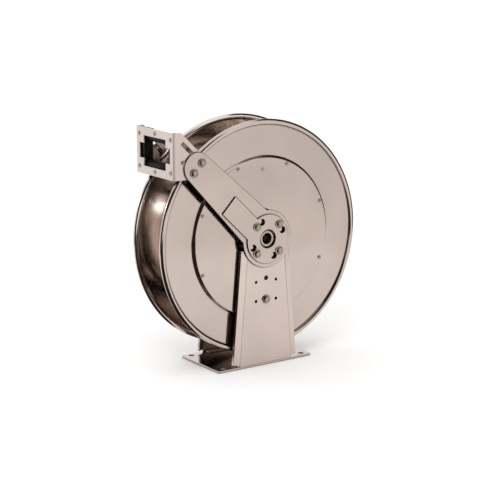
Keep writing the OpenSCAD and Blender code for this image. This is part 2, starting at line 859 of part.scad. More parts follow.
// Half section of a spun disc: x is the radius, y the distance outwards
module disc_section(hole_r) {
    bead_y = ring_face - disc_t / 2;
    step_out = centre_r + step_run;
    polygon([
        [hole_r, centre_face], [centre_r, centre_face], [step_out, ring_face],
        [disc_r - 2 * bead_r + 1, ring_face], [disc_r - 2 * bead_r + 1, ring_face - disc_t],
        [step_out - 1, ring_face - disc_t], [centre_r - 1, centre_back], [hole_r, centre_back]
    ]);
    translate([disc_r - bead_r, bead_y]) difference() {
        circle(r = bead_r);
        circle(r = bead_r - bead_wall);
    }
}

module disc(hole_r) {
    difference() {
        rotate_extrude($fn = 144) disc_section(hole_r);
        translate([0, 0, centre_back - 1])
            around(disc_screws, screw_pitch_r, screw_turn) cylinder(r = screw_r + seat_play, h = disc_t + 2);
    }
}

module front_disc() {
    color(steel) on_axis() difference() {
        disc(centre_hole);
        translate([0, anchor_r, centre_back - 1]) cylinder(r = rivet_r + seat_play, h = disc_t + 2);
        translate([0, 0, centre_back - 1])
            around(4, rivet_pitch_r) cylinder(r = rivet_r + seat_play, h = disc_t + 2);
    }
}

module rear_disc() {
    color(steel) on_rear() difference() {
        disc(shaft_r + seat_play);
        translate([0, 0, centre_back - 1]) around(hub_screws, hub_pitch_r)
            cylinder(r = hub_screw_r + seat_play, h = disc_t + 2);
    }
}

module drum() {
    color(steel) on_axis() difference() {
        translate([0, 0, -centre_back]) rotate_extrude($fn = 144) difference() {
            translate([drum_r - drum_flange_w, 0]) square([drum_flange_w, 2 * centre_back]);
            translate([drum_r - drum_flange_w - 1, drum_t])
                square([drum_flange_w + 1 - drum_t, 2 * (centre_back - drum_t)]);
        }
        translate([0, 0, -centre_face]) around(disc_screws, screw_pitch_r, screw_turn)
            cylinder(r = screw_r + seat_play, h = 2 * centre_face);
        translate([0, 0, -riser_set]) rotate([90, 0, 0])
            cylinder(r = riser_r + seat_play, h = disc_r);
    }
}

module disc_screw_set() {
    head_h = 2;
    color(bright) around(disc_screws, screw_pitch_r, screw_turn) {
        difference() {
            translate([0, 0, centre_face]) cylinder(r = 2 * screw_r, h = head_h);
            translate([-2 * screw_r, -0.4, centre_face + head_h - 0.6])
                cube([4 * screw_r, 0.8, 2]);
        }
        translate([0, 0, centre_back - drum_t - 3]) cylinder(r = screw_r, h = disc_t + drum_t + 4);
    }
}

anchor_r = case_r + case_lip_w / 2;
rivet_pitch_r = (centre_hole + ratchet_r - notch_d) / 2;
case_floor = centre_back - spring_w - 3 * move_gap - 2 * case_t;

// Cup that holds the spring; its lip lies against the front disc, its hub is on the shaft
module spring_case() {
    hub_l = 20;
    color(steel) on_axis() difference() {
        union() {
            translate([0, 0, case_floor]) rotate_extrude() {
                square([case_r, case_t]);
                translate([case_r - case_t, 0]) square([case_t, centre_back - case_floor]);
                translate([case_r - case_t, centre_back - case_floor - case_t])
                    square([case_t + case_lip_w, case_t]);
            }
            translate([0, 0, case_floor - hub_l]) cylinder(r = boss_r, h = hub_l + 1);
        }
        translate([0, 0, case_floor - hub_l - 1]) cylinder(r = shaft_r + seat_play, h = centre_face);
        translate([0, anchor_r, centre_back - case_t - 1]) cylinder(r = rivet_r + seat_play, h = case_t + 2);
    }
}

// Flat strip wound in a spiral between the arbor and the case
module power_spring() {
    inner = arbor_r + 0.5;
    outer = case_r - case_t - 0.3;
    inside = spiral(inner, outer - spring_t, spring_turns, 20);
    outside = spiral(inner + spring_t, outer, spring_turns, 20);
    color(dark) on_axis() translate([0, 0, case_floor + case_t + move_gap])
        linear_extrude(spring_w) polygon(concat(inside, reversed(outside)));
}

module spring_anchor() {
    color(bright) on_axis() translate([0, anchor_r, 0]) {
        translate([0, 0, centre_face]) cylinder(r = 1.6 * rivet_r, h = 1);
        translate([0, 0, centre_back - case_t - 1]) cylinder(r = rivet_r, h = disc_t + case_t + 2);
    }
}

// A tooth gap: steep on one side, sloped on the other
module notch() {
    polygon([
        [ratchet_r - notch_d, 0], [ratchet_r + 2, 0], [ratchet_r + 2, notch_mouth],
        [ratchet_r - notch_d, notch_floor]
    ]);
}

module ratchet_wheel() {
    color(dark) on_axis() difference() {
        disc_ring(ratchet_r, centre_hole, centre_face, ratchet_face);
        plate(centre_face - 1, ratchet_face + 1)
            for (group = [0, 180], i = [0 : 3]) rotate([0, 0, group + notch_pitch * i]) notch();
        translate([0, 0, centre_face - 1])
            around(4, rivet_pitch_r) cylinder(r = rivet_r + seat_play, h = ratchet_t + 2);
    }
}

module ratchet_rivets() {
    color(bright) on_axis() around(4, rivet_pitch_r) {
        translate([0, 0, centre_back]) cylinder(r = rivet_r, h = disc_t + ratchet_t);
        translate([0, 0, centre_back - 1.5]) cylinder(r = 1.6 * rivet_r, h = 1.5);
    }
}

module at_riser() {
    on_axis() translate([0, 0, -riser_set]) rotate([90, 0, 0]) children();
}

module outlet_riser() {
    start = shaft_bore_r + 1;
    color(bright) at_riser()
        disc_ring(riser_r, riser_r - riser_wall, start, drum_r + 2);
}

// Elbow on the drum that the hose's fitting screws into; its port looks along the winding
module outlet_elbow() {
    port_r = outlet_r + 4;
    lift = drum_r + port_r + 1;
    thread_start = outlet_reach - outlet_l;
    color(bronze) at_riser() difference() {
        union() {
            translate([0, 0, drum_r + 1.2]) cylinder(r = port_r, h = port_r);
            translate([0, 0, lift]) sphere(r = port_r + 1);
            translate([0, 0, lift]) rotate([0, 90, 0]) cylinder(r = port_r, h = thread_start + 4);
            translate([thread_start + 2, 0, lift]) rotate([0, 90, 0])
                hexagon(2 * port_r + 1, outlet_l - 2);
        }
        translate([0, 0, drum_r - 1]) cylinder(r = riser_r + seat_play, h = 5);
        translate([0, 0, drum_r]) cylinder(r = riser_r - riser_wall, h = lift - drum_r + 4);
        translate([0, 0, lift]) rotate([0, 90, 0])
            cylinder(r = riser_r - riser_wall - 0.5, h = outlet_reach);
        translate([thread_start, 0, lift]) rotate([0, 90, 0])
            cylinder(r = outlet_r, h = outlet_l + 1);
    }
}

// ---- Rollers -----------------------------------------------------------

// A guide roller along z, centred on the origin, with a small crown at each end
module roller(half) {
    bore = roller_pin_r + run_play;
    color(black) rotate_extrude() polygon([
        [bore, -half], [roller_r - 1, -half], [roller_r, -half + 1.5],
        [roller_r, half - 1.5], [roller_r - 1, half], [bore, half]
    ]);
}

module across_roller(v) {
    at_face(bracket_in_x) translate([0, v * roller_v, roller_set]) rotate([0, 90, 0])
        roller(block_y - 0.6);
}

module upright_roller(y) {
    at_face(bracket_in_x) translate([y * roller_y, 0, roller_set]) rotate([90, 0, 0])
        roller(block_v - 0.6);
}

// ---- Inlet swivel ------------------------------------------------------

module inlet_swivel() {
    arm_l = swivel_r + inlet_neck + inlet_l;
    color(bronze) on_rear() difference() {
        union() {
            translate([0, 0, swivel_start]) cylinder(r = swivel_r, h = swivel_end - swivel_start);
            translate([0, 0, port_y]) rotate([90, 0, 0]) cylinder(r = inlet_r + 4, h = arm_l);
            translate([0, -arm_l + inlet_l, port_y]) rotate([90, 0, 0])
                hexagon(2 * inlet_r + 9, inlet_l);
        }
        translate([0, 0, swivel_start - 1]) cylinder(r = nose_r + run_play, h = swivel_end);
        translate([0, 0, seat_end]) cylinder(r = chamber_r, h = swivel_end);
        translate([0, 0, port_y]) rotate([90, 0, 0]) cylinder(r = inlet_r - 2, h = arm_l + 1);
        translate([0, -arm_l + inlet_l, port_y]) rotate([90, 0, 0]) cylinder(r = inlet_r, h = inlet_l + 1);
        for (z = seal_places) translate([0, 0, z]) cylinder(r = seal_out_r, h = seal_w);
    }
}

seal_w = 2.4;
seal_wire_r = 1.02;
seal_out_r = nose_r + 2.2;
seal_inset = 5;
seal_step = 7;
seal_places = [swivel_start + seal_inset, swivel_start + seal_inset + seal_step];

module swivel_seals() {
    color(rubber) on_rear() for (z = seal_places) translate([0, 0, z + seal_w / 2])
        rotate_extrude() translate([(nose_r + seal_out_r) / 2, 0]) circle(r = seal_wire_r, $fn = 24);
}

module swivel_circlip() {
    color(dark) on_rear() difference() {
        disc_ring(nose_r + 2, nose_r - 0.9, clip_end - clip_t, clip_end);
        translate([-2, -nose_r - 4, nose_end - 4]) cube([4, 8, 4]);
    }
}

module swivel_cap() {
    color(bronze) on_rear() {
        translate([0, 0, swivel_end - cap_depth])
            cylinder(r = chamber_r - seat_play, h = cap_depth + 1);
        translate([0, 0, swivel_end]) cylinder(r = swivel_r, h = 2);
        translate([0, 0, swivel_end + 1]) hexagon(1.2 * nose_r + 6, 7);
    }
}

base_plate();
color(steel) on_axis() pedestal();  // front_pedestal
color(steel) on_rear() pedestal();  // rear_pedestal
color(steel) on_axis() guide_arm();  // front_guide_arm
color(steel) on_rear() guide_arm();  // rear_guide_arm
color(bright) on_axis() hub_plate();  // front_hub_plate
color(bright) on_rear() hub_plate();  // rear_hub_plate
roller_bracket();
roller_cage();
cage_retainers();
roller_pins();
cage_rivets();
arm_end_bolts();
arm_end_nuts();
on_axis() hub_bolt_set();  // front_hub_bolts
on_rear() hub_bolt_set();  // rear_hub_bolts
spring_arbor();
front_bearing();
rear_bearing_housing();
rear_bearing();
pawl_bolt();
pawl_spacer();
pawl_retainer();
pawl_spring();
main_shaft();
shaft_plug();
hub_flange();
hub_flange_bolts();
thrust_washer();
front_disc();
rear_disc();
drum();
on_axis() disc_screw_set();  // front_disc_screws
on_rear() disc_screw_set();  // rear_disc_screws
spring_case();
power_spring();
spring_anchor();
ratchet_wheel();
ratchet_rivets();
outlet_riser();
outlet_elbow();
across_roller(1);  // top_roller
across_roller(-1);  // bottom_roller
upright_roller(-1);  // front_roller
upright_roller(1);  // rear_roller
latch_pawl();
inlet_swivel();
swivel_cap();
swivel_seals();
swivel_circlip();
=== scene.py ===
"""A spring-rewind hose reel in bright stainless steel, dressed for a studio picture.

The script follows the reel as it is put together: the studio first, then the base and its
pedestals, the shaft and spool, the latch, the water path and the guide box. Metres throughout."""

import json
import math

import bmesh
import bpy
from mathutils import Matrix, Vector

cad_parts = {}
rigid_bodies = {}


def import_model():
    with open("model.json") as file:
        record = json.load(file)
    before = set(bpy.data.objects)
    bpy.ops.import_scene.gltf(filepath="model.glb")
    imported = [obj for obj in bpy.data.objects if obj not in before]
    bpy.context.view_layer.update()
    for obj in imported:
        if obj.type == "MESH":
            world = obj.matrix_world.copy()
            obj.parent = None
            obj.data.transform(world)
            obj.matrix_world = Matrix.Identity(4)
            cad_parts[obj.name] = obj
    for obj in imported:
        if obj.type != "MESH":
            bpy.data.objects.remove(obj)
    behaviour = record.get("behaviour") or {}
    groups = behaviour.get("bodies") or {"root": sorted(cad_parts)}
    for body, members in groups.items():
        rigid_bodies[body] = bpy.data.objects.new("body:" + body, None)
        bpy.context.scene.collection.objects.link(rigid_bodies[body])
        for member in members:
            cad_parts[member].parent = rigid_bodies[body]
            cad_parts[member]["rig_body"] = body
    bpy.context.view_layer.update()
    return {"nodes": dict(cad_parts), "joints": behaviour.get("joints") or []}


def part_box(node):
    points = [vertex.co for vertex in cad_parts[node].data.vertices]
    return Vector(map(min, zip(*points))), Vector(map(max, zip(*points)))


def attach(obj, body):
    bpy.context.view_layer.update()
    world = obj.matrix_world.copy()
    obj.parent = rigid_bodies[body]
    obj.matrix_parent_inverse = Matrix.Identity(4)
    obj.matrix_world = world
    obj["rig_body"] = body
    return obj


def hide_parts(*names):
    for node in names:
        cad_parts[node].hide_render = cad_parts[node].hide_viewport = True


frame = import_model()
scene = bpy.context.scene

# ---- Studio ------------------------------------------------------------------
# A pale floor that runs out of sight, an even bright surround and soft lamps. Dark cards
# beside the reel, which only polished steel sees, draw the edges of its curved rims.

CAMERA_PLACE = Vector((-2.1095, -3.0068, 1.1020))
CAMERA_AIM = Vector((-0.01156, 0.0, 0.29121))
LENS = 114.34
SURROUND_TONE = (1.0, 0.99, 0.98, 1)
SURROUND_POWER = 1.08
FLOOR_HALF = 20.0
FLOOR_TONE = (0.95, 0.95, 0.95, 1)
FLAG_TONE = (0.03, 0.019, 0.017, 1)
PALE_TONE = (0.86, 0.85, 0.84, 1)
CARD_LIFT = 0.002
LEFT_FLAG = [(-1.4, -0.95), (-1.4, 0.55)]
LEFT_TOP = 1.3
RIGHT_FLAG = [(1.5, -1.3), (1.5, 1.6)]
RIGHT_TOP = 3.0
LOW_FLAG = [(-2.6, -2.8), (-0.3, -2.8), (-0.17, 0.2), (-1.4, 0.2)]
FAR_FLOOR = [(0.3, -1.3), (2.6, -5.0), (6.0, -3.4), (1.45, -0.5)]
ROOM = [(1.1, -4.2), (-0.75, -4.2), (-2.5, -3.5), (-3.7, -2.2), (-4.3, -0.6)]
ROOM_FOOT = 1.25
ROOM_TOP = 7.0


def new_material(name):
    """An empty node material, with its tree and its Principled shader."""
    material = bpy.data.materials.new(name)
    material.use_nodes = True
    return material, material.node_tree, material.node_tree.nodes["Principled BSDF"]


def link(obj):
    """Puts a new object in the scene."""
    scene.collection.objects.link(obj)
    return obj


def mesh_object(name, bm, material):
    """A finished mesh object from a bmesh, at the origin."""
    mesh = bpy.data.meshes.new(name)
    bm.to_mesh(mesh)
    bm.free()
    mesh.materials.append(material)
    return link(bpy.data.objects.new(name, mesh))


def make_camera():
    """The one camera, with a long lens, aimed at the spool."""
    camera = bpy.data.cameras.new("camera")
    camera.lens = LENS
    camera.sensor_width = 36.0
    camera.clip_end = 90.0
    obj = link(bpy.data.objects.new("camera", camera))
    obj.location = CAMERA_PLACE
    obj.rotation_euler = (CAMERA_AIM - CAMERA_PLACE).to_track_quat("-Z", "Y").to_euler()
    scene.camera = obj


def soft_lamp(name, place, aim, size, power, colour):
    """A soft box turned towards its aim, itself out of the picture."""
    data = bpy.data.lights.new(name, "AREA")
    data.shape = "RECTANGLE"
    data.size, data.size_y = size
    data.energy = power
    data.color = colour
    lamp = link(bpy.data.objects.new(name, data))
    lamp.location = place
    lamp.rotation_euler = (Vector(aim) - Vector(place)).to_track_quat("-Z", "Y").to_euler()
    lamp.visible_camera = False
    return lamp


def stage_card(name, corners, colour):
    """A flat card of the studio, through four corners."""
    material, _, shader = new_material(name)
    shader.inputs["Base Color"].default_value = colour
    shader.inputs["Roughness"].default_value = 0.9
    shader.inputs["Specular IOR Level"].default_value = 0.0
    bm = bmesh.new()
    bm.faces.new([bm.verts.new(corner) for corner in corners])
    card = mesh_object(name, bm, material)
    return card


def mirrored_card(name, corners, colour):
    """A card that shows in reflections alone."""
    card = stage_card(name, corners, colour)
    card.visible_camera = False
    card.visible_diffuse = False
    card.visible_shadow = False


def make_surround():
    """An even light from all sides."""
    world = bpy.data.worlds.new("surround")
    world.use_nodes = True
    scene.world = world
    background = world.node_tree.nodes["Background"]
    background.inputs["Color"].default_value = SURROUND_TONE
    background.inputs["Strength"].default_value = SURROUND_POWER


def lying(outline, height):
    """Corners of a level card, from its outline on the floor."""
    return [(x, y, height) for x, y in outline]


def standing(start, end, foot, top):
    """Corners of an upright card that runs from one place on the floor to another."""
    return [(*start, foot), (*end, foot), (*end, top), (*start, top)]


make_camera()
make_surround()
floor = [(FLOOR_HALF * x, FLOOR_HALF * y) for x, y in ((-1, -1), (1, -1), (1, 1), (-1, 1))]
stage_card("floor", lying(floor, 0), FLOOR_TONE)
mirrored_card("left_flag", standing(*LEFT_FLAG, 0, LEFT_TOP), FLAG_TONE)
mirrored_card("low_flag", lying(LOW_FLAG, CARD_LIFT), FLAG_TONE)
mirrored_card("right_flag", standing(*RIGHT_FLAG, 0, RIGHT_TOP), FLAG_TONE)
for start, end in zip(ROOM, ROOM[1:]):
    mirrored_card("dark_room", standing(start, end, ROOM_FOOT, ROOM_TOP), FLAG_TONE)
mirrored_card("far_floor", lying(FAR_FLOOR, CARD_LIFT), PALE_TONE)
key = soft_lamp("key", place=(-2.0, -1.8, 3.0), aim=(0.1, -0.3, 0.2), size=(2.0, 1.4),
                power=34.0, colour=(1.0, 0.98, 0.95))
soft_lamp("groove_lamp", place=(-1.7, 2.05, 0.95), aim=(0, 0, 0.4), size=(0.08, 0.28),
          power=5.2, colour=(0.66, 0.84, 1.0))
key.visible_glossy = False
scene.view_settings.view_transform = "Standard"

# ---- Base plate --------------------------------------------------------------
# Laser-cut stainless plate with four mounting holes. The rolled grain runs along it;
# its cut edges are broken by hand and keep a small radius.

SHEET_TONE = (0.55, 0.467, 0.424)
# Dark tone laid over steel: painted shade in corners, along the pedestals' folds and at the discs'
# bead roots, and oxide on cut edges.
SHADE_AND_OXIDE_TONE = (0.05, 0.033, 0.027, 1)
CORNER_REACH = 0.0045
PLATE_GRAIN = (0.05, 0.0015, 0.0015)
WELD = 1e-6
MM2_PER_M2 = 1e6
LEAST_AREA = 0.01
FLAT_COS = 0.99999
LEAST_SPREAD = 0.4
EDGE_SHARE = 0.45
CORNER_LIFT = 0.2
# The Mix node's sockets for colours, which share their names with its other kinds.
MIX_FACTOR, MIX_LOW, MIX_HIGH, MIX_RESULT = 0, 6, 7, 2


def tone(colour, gain=1.0):
    """A colour made brighter or darker, with its alpha."""
    return (*[min(1.0, gain * channel) for channel in colour], 1)


def texture(tree, vector, scale, detail=2.0):
    """Soft noise through a vector; returns its value."""
    node = tree.nodes.new("ShaderNodeTexNoise")
    node.inputs["Scale"].default_value = scale
    node.inputs["Detail"].default_value = detail
    tree.links.new(vector, node.inputs["Vector"])
    return node.outputs["Fac"]


def spread(tree, value, low, high, start=0.32, end=0.68):
    """Stretches part of a value's span, such as the middle of a noise, over a range."""
    node = tree.nodes.new("ShaderNodeMapRange")
    node.inputs["From Min"].default_value = start
    node.inputs["From Max"].default_value = end
    node.inputs["To Min"].default_value = low
    node.inputs["To Max"].default_value = high
    tree.links.new(value, node.inputs["Value"])
    return node.outputs["Result"]


def sum_of(tree, operation, first, second=None):
    """One step of arithmetic on values that are numbers or other nodes' outputs."""
    node = tree.nodes.new("ShaderNodeMath")
    node.operation = operation
    for socket, value in zip(node.inputs, (first, second)):
        if isinstance(value, (int, float)):
            socket.default_value = value
        elif value is not None:
            tree.links.new(value, socket)
    return node.outputs["Value"]


def mixed(tree, factor, low, high):
    """Mixes two colours, each a fixed tone or another node's output."""
    node = tree.nodes.new("ShaderNodeMix")
    node.data_type = "RGBA"
    tree.links.new(factor, node.inputs[MIX_FACTOR])
    for place, colour in ((MIX_LOW, low), (MIX_HIGH, high)):
        if isinstance(colour, tuple):
            node.inputs[place].default_value = colour
        else:
            tree.links.new(colour, node.inputs[place])
    return node.outputs[MIX_RESULT]


def bumped(tree, height, depth, under=None):
    """A surface raised by a height, on top of the one under it."""
    node = tree.nodes.new("ShaderNodeBump")
    node.inputs["Distance"].default_value = depth
    tree.links.new(height, node.inputs["Height"])
    if under:
        tree.links.new(under, node.inputs["Normal"])
    return node.outputs["Normal"]


def object_place(tree, place=(0, 0, 0), turn=(0, 0, 0), size=(1, 1, 1)):
    """Object coordinates about a place, turned, and counted in pieces of a size."""
    coordinates = tree.nodes.new("ShaderNodeTexCoord")
    mapping = tree.nodes.new("ShaderNodeMapping")
    mapping.vector_type = "TEXTURE"
    mapping.inputs["Location"].default_value = place
    mapping.inputs["Rotation"].default_value = turn
    mapping.inputs["Scale"].default_value = size
    tree.links.new(coordinates.outputs["Object"], mapping.inputs["Vector"])
    return mapping.outputs["Vector"]


def corner_shade(tree, colour, reach=CORNER_REACH):
    """The colour with painted shade where the surface meets another, found by ambient occlusion."""
    hidden = tree.nodes.new("ShaderNodeAmbientOcclusion")
    hidden.samples = 6
    hidden.inputs["Distance"].default_value = reach
    own_colour_share = spread(tree, hidden.outputs["AO"], 0.0, 1.0, start=0.45, end=0.9)
    return mixed(tree, own_colour_share, SHADE_AND_OXIDE_TONE, colour)


def coat(tree, shader, colour, rough, surface):
    """Joins a finish's colour, roughness and surface to its shader."""
    for label, output in (("Base Color", colour), ("Roughness", rough), ("Normal", surface)):
        tree.links.new(output, shader.inputs[label])


def rolled_steel(name, colour, roughness, grain_size, turn=(0, 0, 0), metallic=1.0):
    """Stainless sheet: streaks along its grain, faint clouding, slight waves, painted shade in
    corners.
    """
    material, tree, shader = new_material(name)
    streaks = texture(tree, object_place(tree, turn=turn, size=grain_size), scale=1.0, detail=3.0)
    clouds = texture(tree, object_place(tree), scale=9.0, detail=3.0)
    waves = texture(tree, object_place(tree), scale=3.5, detail=1.0)
    body = mixed(tree, spread(tree, clouds, 0.0, 1.0), tone(colour, 0.94), tone(colour, 1.04))
    grained = spread(tree, streaks, roughness - 0.03, roughness + 0.03)
    rough = sum_of(tree, "ADD", grained, spread(tree, clouds, -0.02, 0.02))
    surface = bumped(tree, streaks, depth=0.00001, under=bumped(tree, waves, depth=0.0006))
    shader.inputs["Metallic"].default_value = metallic
    coat(tree, shader, corner_shade(tree, body), rough, surface)
    return material


def flat_weights(bm):
    """For every face the area, in square millimetres, of the whole flat it belongs to."""
    weights = {}
    for seed in bm.faces:
        if seed in weights:
            continue
        weights[seed] = 0.0
        region = [seed]
        for face in region:
            for other in {f for edge in face.edges for f in edge.link_faces}:
                if other not in weights and face.normal.dot(other.normal) > FLAT_COS:
                    weights[other] = 0.0
                    region.append(other)
        area = MM2_PER_M2 * sum(face.calc_area() for face in region)
        for face in region:
            weights[face] = max(area, LEAST_AREA)
    return weights


def sectors(vert, sharp):
    """The faces round a corner, in groups that no sharp edge parts."""
    left = set(vert.link_faces)
    groups = []
    while left:
        group = [left.pop()]
        for face in group:
            for edge in face.edges:
                if vert in edge.verts and edge not in sharp:
                    for other in edge.link_faces:
                        if other in left:
                            left.remove(other)
                            group.append(other)
        groups.append(group)
    return groups


def drawn_back(vert, group, sharp, width):
    """Where a corner of a group of faces comes to lie once its edges are broken."""
    steps = []
    for face in group:
        for edge in face.edges:
            if edge in sharp and vert in edge.verts:
                along = edge.other_vert(vert).co - vert.co
                step = face.normal.cross(along).normalized()
                inwards = (face.calc_center_median() - vert.co).dot(step)
                steps.append(step if inwards > 0 else -step)
    if len(steps) < 2:
        return vert.co.copy()
    shift = (steps[0] + steps[1]) * (width / max(LEAST_SPREAD, 1 + steps[0].dot(steps[1])))
    for edge in {e for face in group for e in face.edges if vert in e.verts}:
        along = edge.other_vert(vert).co - vert.co
        reach = shift.dot(along) / along.length
        if reach > EDGE_SHARE * along.length:
            shift *= EDGE_SHARE * along.length / reach
    return vert.co + shift


def broken_edges(bm, width, segments, angle):
    """Places, normals and faces of a mesh whose sharp edges are rounded to a radius."""
    bm.normal_update()
    weights = flat_weights(bm)
    sharp = {edge for edge in bm.edges
             if len(edge.link_faces) == 2 and edge.calc_face_angle(0) > math.radians(angle)}
    places, normals, faces, corner, mids = [], [], [], {}, {}
    for vert in bm.verts:
        groups = sectors(vert, sharp)
        if sum(edge in sharp for edge in vert.link_edges) < 2:
            groups = [[face for group in groups for face in group]]
        for group in groups:
            for face in group:
                corner[vert, face] = len(places)
            places.append(drawn_back(vert, group, sharp, width))
            facing = sum((face.normal * weights[face] ** 2 for face in group), Vector())
            normals.append(facing.normalized())
    for face in bm.faces:
        faces.append([corner[vert, face] for vert in face.verts])

    def arc(vert, first, second):
        """The rounding across an edge at one of its ends, as indices of points."""
        if first == second:
            return [first] * (segments + 1)
        key = (min(first, second), max(first, second))
        if key not in mids:
            low, high = key
            bend = math.cos(normals[low].angle(normals[high]) / 2)
            mids[key] = []
            for i in range(1, segments):
                t = i / segments
                a, b, c = (1 - t) ** 2, 2 * t * (1 - t) * bend, t * t
                mids[key].append(len(places))
                places.append((a * places[low] + b * vert.co + c * places[high]) / (a + b + c))
                normals.append(((1 - t) * normals[low] + t * normals[high]).normalized())
        row = [key[0], *mids[key], key[1]]
        return row if row[0] == first else row[::-1]

    crowded = {}
    for edge in sharp:
        one, other = edge.link_faces
        loop = next(l for l in one.loops if l.edge == edge)
        near, far = loop.vert, loop.link_loop_next.vert
        start = arc(near, corner[near, one], corner[near, other])
        end = arc(far, corner[far, one], corner[far, other])
        for i in range(segments):
            face = list(dict.fromkeys((end[i], start[i], start[i + 1], end[i + 1])))
            if len(face) > 2:
                faces.append(face)
        for vert, row in ((near, start[::-1]), (far, end)):
            if sum(e in sharp for e in vert.link_edges) > 2:
                crowded.setdefault(vert, []).append(row)
    for vert, rows in crowded.items():
        middle = sum((places[row[len(row) // 2]] for row in rows), Vector()) / len(rows)
        facing = sum((normals[row[0]] + normals[row[-1]] for row in rows), Vector())
        places.append(middle.lerp(vert.co, CORNER_LIFT))
        normals.append(facing.normalized())
        for row in rows:
            faces.extend([a, b, len(places) - 1] for a, b in zip(row, row[1:]) if a != b)
    return places, normals, faces


def rounded_copy(node, material, width, segments, angle):
    """A CAD piece with its seams closed and its edges broken by a small radius."""
    bm = bmesh.new()
    bm.from_mesh(frame["nodes"][node].data)
    bmesh.ops.remove_doubles(bm, verts=bm.verts, dist=WELD)
    places, normals, faces = broken_edges(bm, width, segments, angle)
    bm.free()
    mesh = bpy.data.meshes.new(node + "_finished")
    mesh.from_pydata(places, [], faces)
    mesh.polygons.foreach_set("use_smooth", [True] * len(mesh.polygons))
    mesh.normals_split_custom_set_from_vertices(normals)
    mesh.materials.append(material)
    return link(bpy.data.objects.new(node + "_finished", mesh))


def fit(piece, slot, *nodes):
    """The piece stands for CAD nodes and moves with their body. The slot is not used."""
    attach(piece, frame["nodes"][nodes[0]]["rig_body"])
    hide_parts(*nodes)


def dress(slot, material, *nodes, width, segments=2, angle=35):
    """Fits each node's own piece, its edges broken by a width."""
    for node in nodes:
        fit(rounded_copy(node, material, width, segments, angle), slot, node)


plate_steel = rolled_steel("plate_steel", SHEET_TONE, 0.16, PLATE_GRAIN)
dress("base_steel", plate_steel, "base_plate", width=0.0008)

# ---- Pedestals ---------------------------------------------------------------
# Two uprights folded from sheet, welded to the base plate along their feet. The grain
# runs up them; both edges are set back in a soft fold and turned in.

UPRIGHT_GRAIN = (0.0015, 0.0015, 0.06)
FOLD_AT = 0.07746
FOLD_SLOPE = 0.0834
FOLD_HALF = 0.0011


def split(tree, vector):
    """A vector parted into X, Y and Z."""
    node = tree.nodes.new("ShaderNodeSeparateXYZ")
    tree.links.new(vector, node.inputs["Vector"])
    return node


def lay_shade_and_oxide(material, own_colour_share):
    """Lays the dark tone over a material's colour wherever the given share falls below one. Its
    callers use it for painted shade along the pedestals' folds and at the discs' bead roots, and
    for oxide on cut edges.
    """
    tree = material.node_tree
    socket = tree.nodes["Principled BSDF"].inputs["Base Color"]
    tree.links.new(mixed(tree, own_colour_share, SHADE_AND_OXIDE_TONE, socket.links[0].from_socket), socket)


def shade_folds(material):
    """Paints a line of shade along the two slanting folds."""
    tree = material.node_tree
    apart = split(tree, object_place(tree))
    side = sum_of(tree, "ABSOLUTE", apart.outputs["X"])
    slant = sum_of(tree, "MULTIPLY", apart.outputs["Z"], FOLD_SLOPE)
    off = sum_of(tree, "SUBTRACT", sum_of(tree, "ADD", side, slant), FOLD_AT)
    off = sum_of(tree, "ABSOLUTE", off)
    lay_shade_and_oxide(material, spread(tree, off, 0.6, 1.0, start=FOLD_HALF / 2, end=FOLD_HALF))


# The uprights' steel is the sheet's colour made 8% lighter, painted light for the shaded floor they
# reflect, and it carries painted shade along its folds.
upright_steel = rolled_steel("upright_steel", tone(SHEET_TONE, 1.08)[:3], 0.15, UPRIGHT_GRAIN)
shade_folds(upright_steel)
dress("base_steel", upright_steel, "front_pedestal", "rear_pedestal",
      width=0.001, segments=3, angle=11)

# ---- Guide arms --------------------------------------------------------------
# Flat bars cut from thicker sheet, one on each side, bolted on at the hub and reaching
# up to the guide box. Their grain runs from end to end.

GUIDE_ANGLE = math.radians(136)
ARM_GRAIN = (0.06, 0.0015, 0.0015)


def cut_edged(material, kept):
    """Leaves the cut edges of a plate that stands upright along X duller than its faces."""
    tree = material.node_tree
    facing = tree.nodes.new("ShaderNodeTexCoord").outputs["Normal"]
    level = sum_of(tree, "ABSOLUTE", split(tree, facing).outputs["Y"])
    lay_shade_and_oxide(material, spread(tree, level, kept, 1.0, start=0.80, end=0.985))


arm_steel = rolled_steel("arm_steel", SHEET_TONE, 0.14, ARM_GRAIN, (0, -GUIDE_ANGLE, 0))
cut_edged(arm_steel, kept=0.12)
dress("arm_steel", arm_steel, "front_guide_arm", "rear_guide_arm", width=0.0018, segments=4)

# ---- Hub plates --------------------------------------------------------------
# Raised doublers round the hub, each with a tail along its arm. They are polished a
# little brighter than the arms and carry nothing on their faces.

hub_steel = rolled_steel("hub_steel", SHEET_TONE, 0.12, ARM_GRAIN, (0, -GUIDE_ANGLE, 0))
cut_edged(hub_steel, kept=0.25)
dress("arm_steel", hub_steel, "front_hub_plate", "rear_hub_plate", width=0.0016, segments=4)

# ---- Hub bolts ---------------------------------------------------------------
# Four hexagon flange bolts on each side hold hub plate, arm, pedestal and bearing carrier
# together. Each is turned at random, as a spanner leaves it.

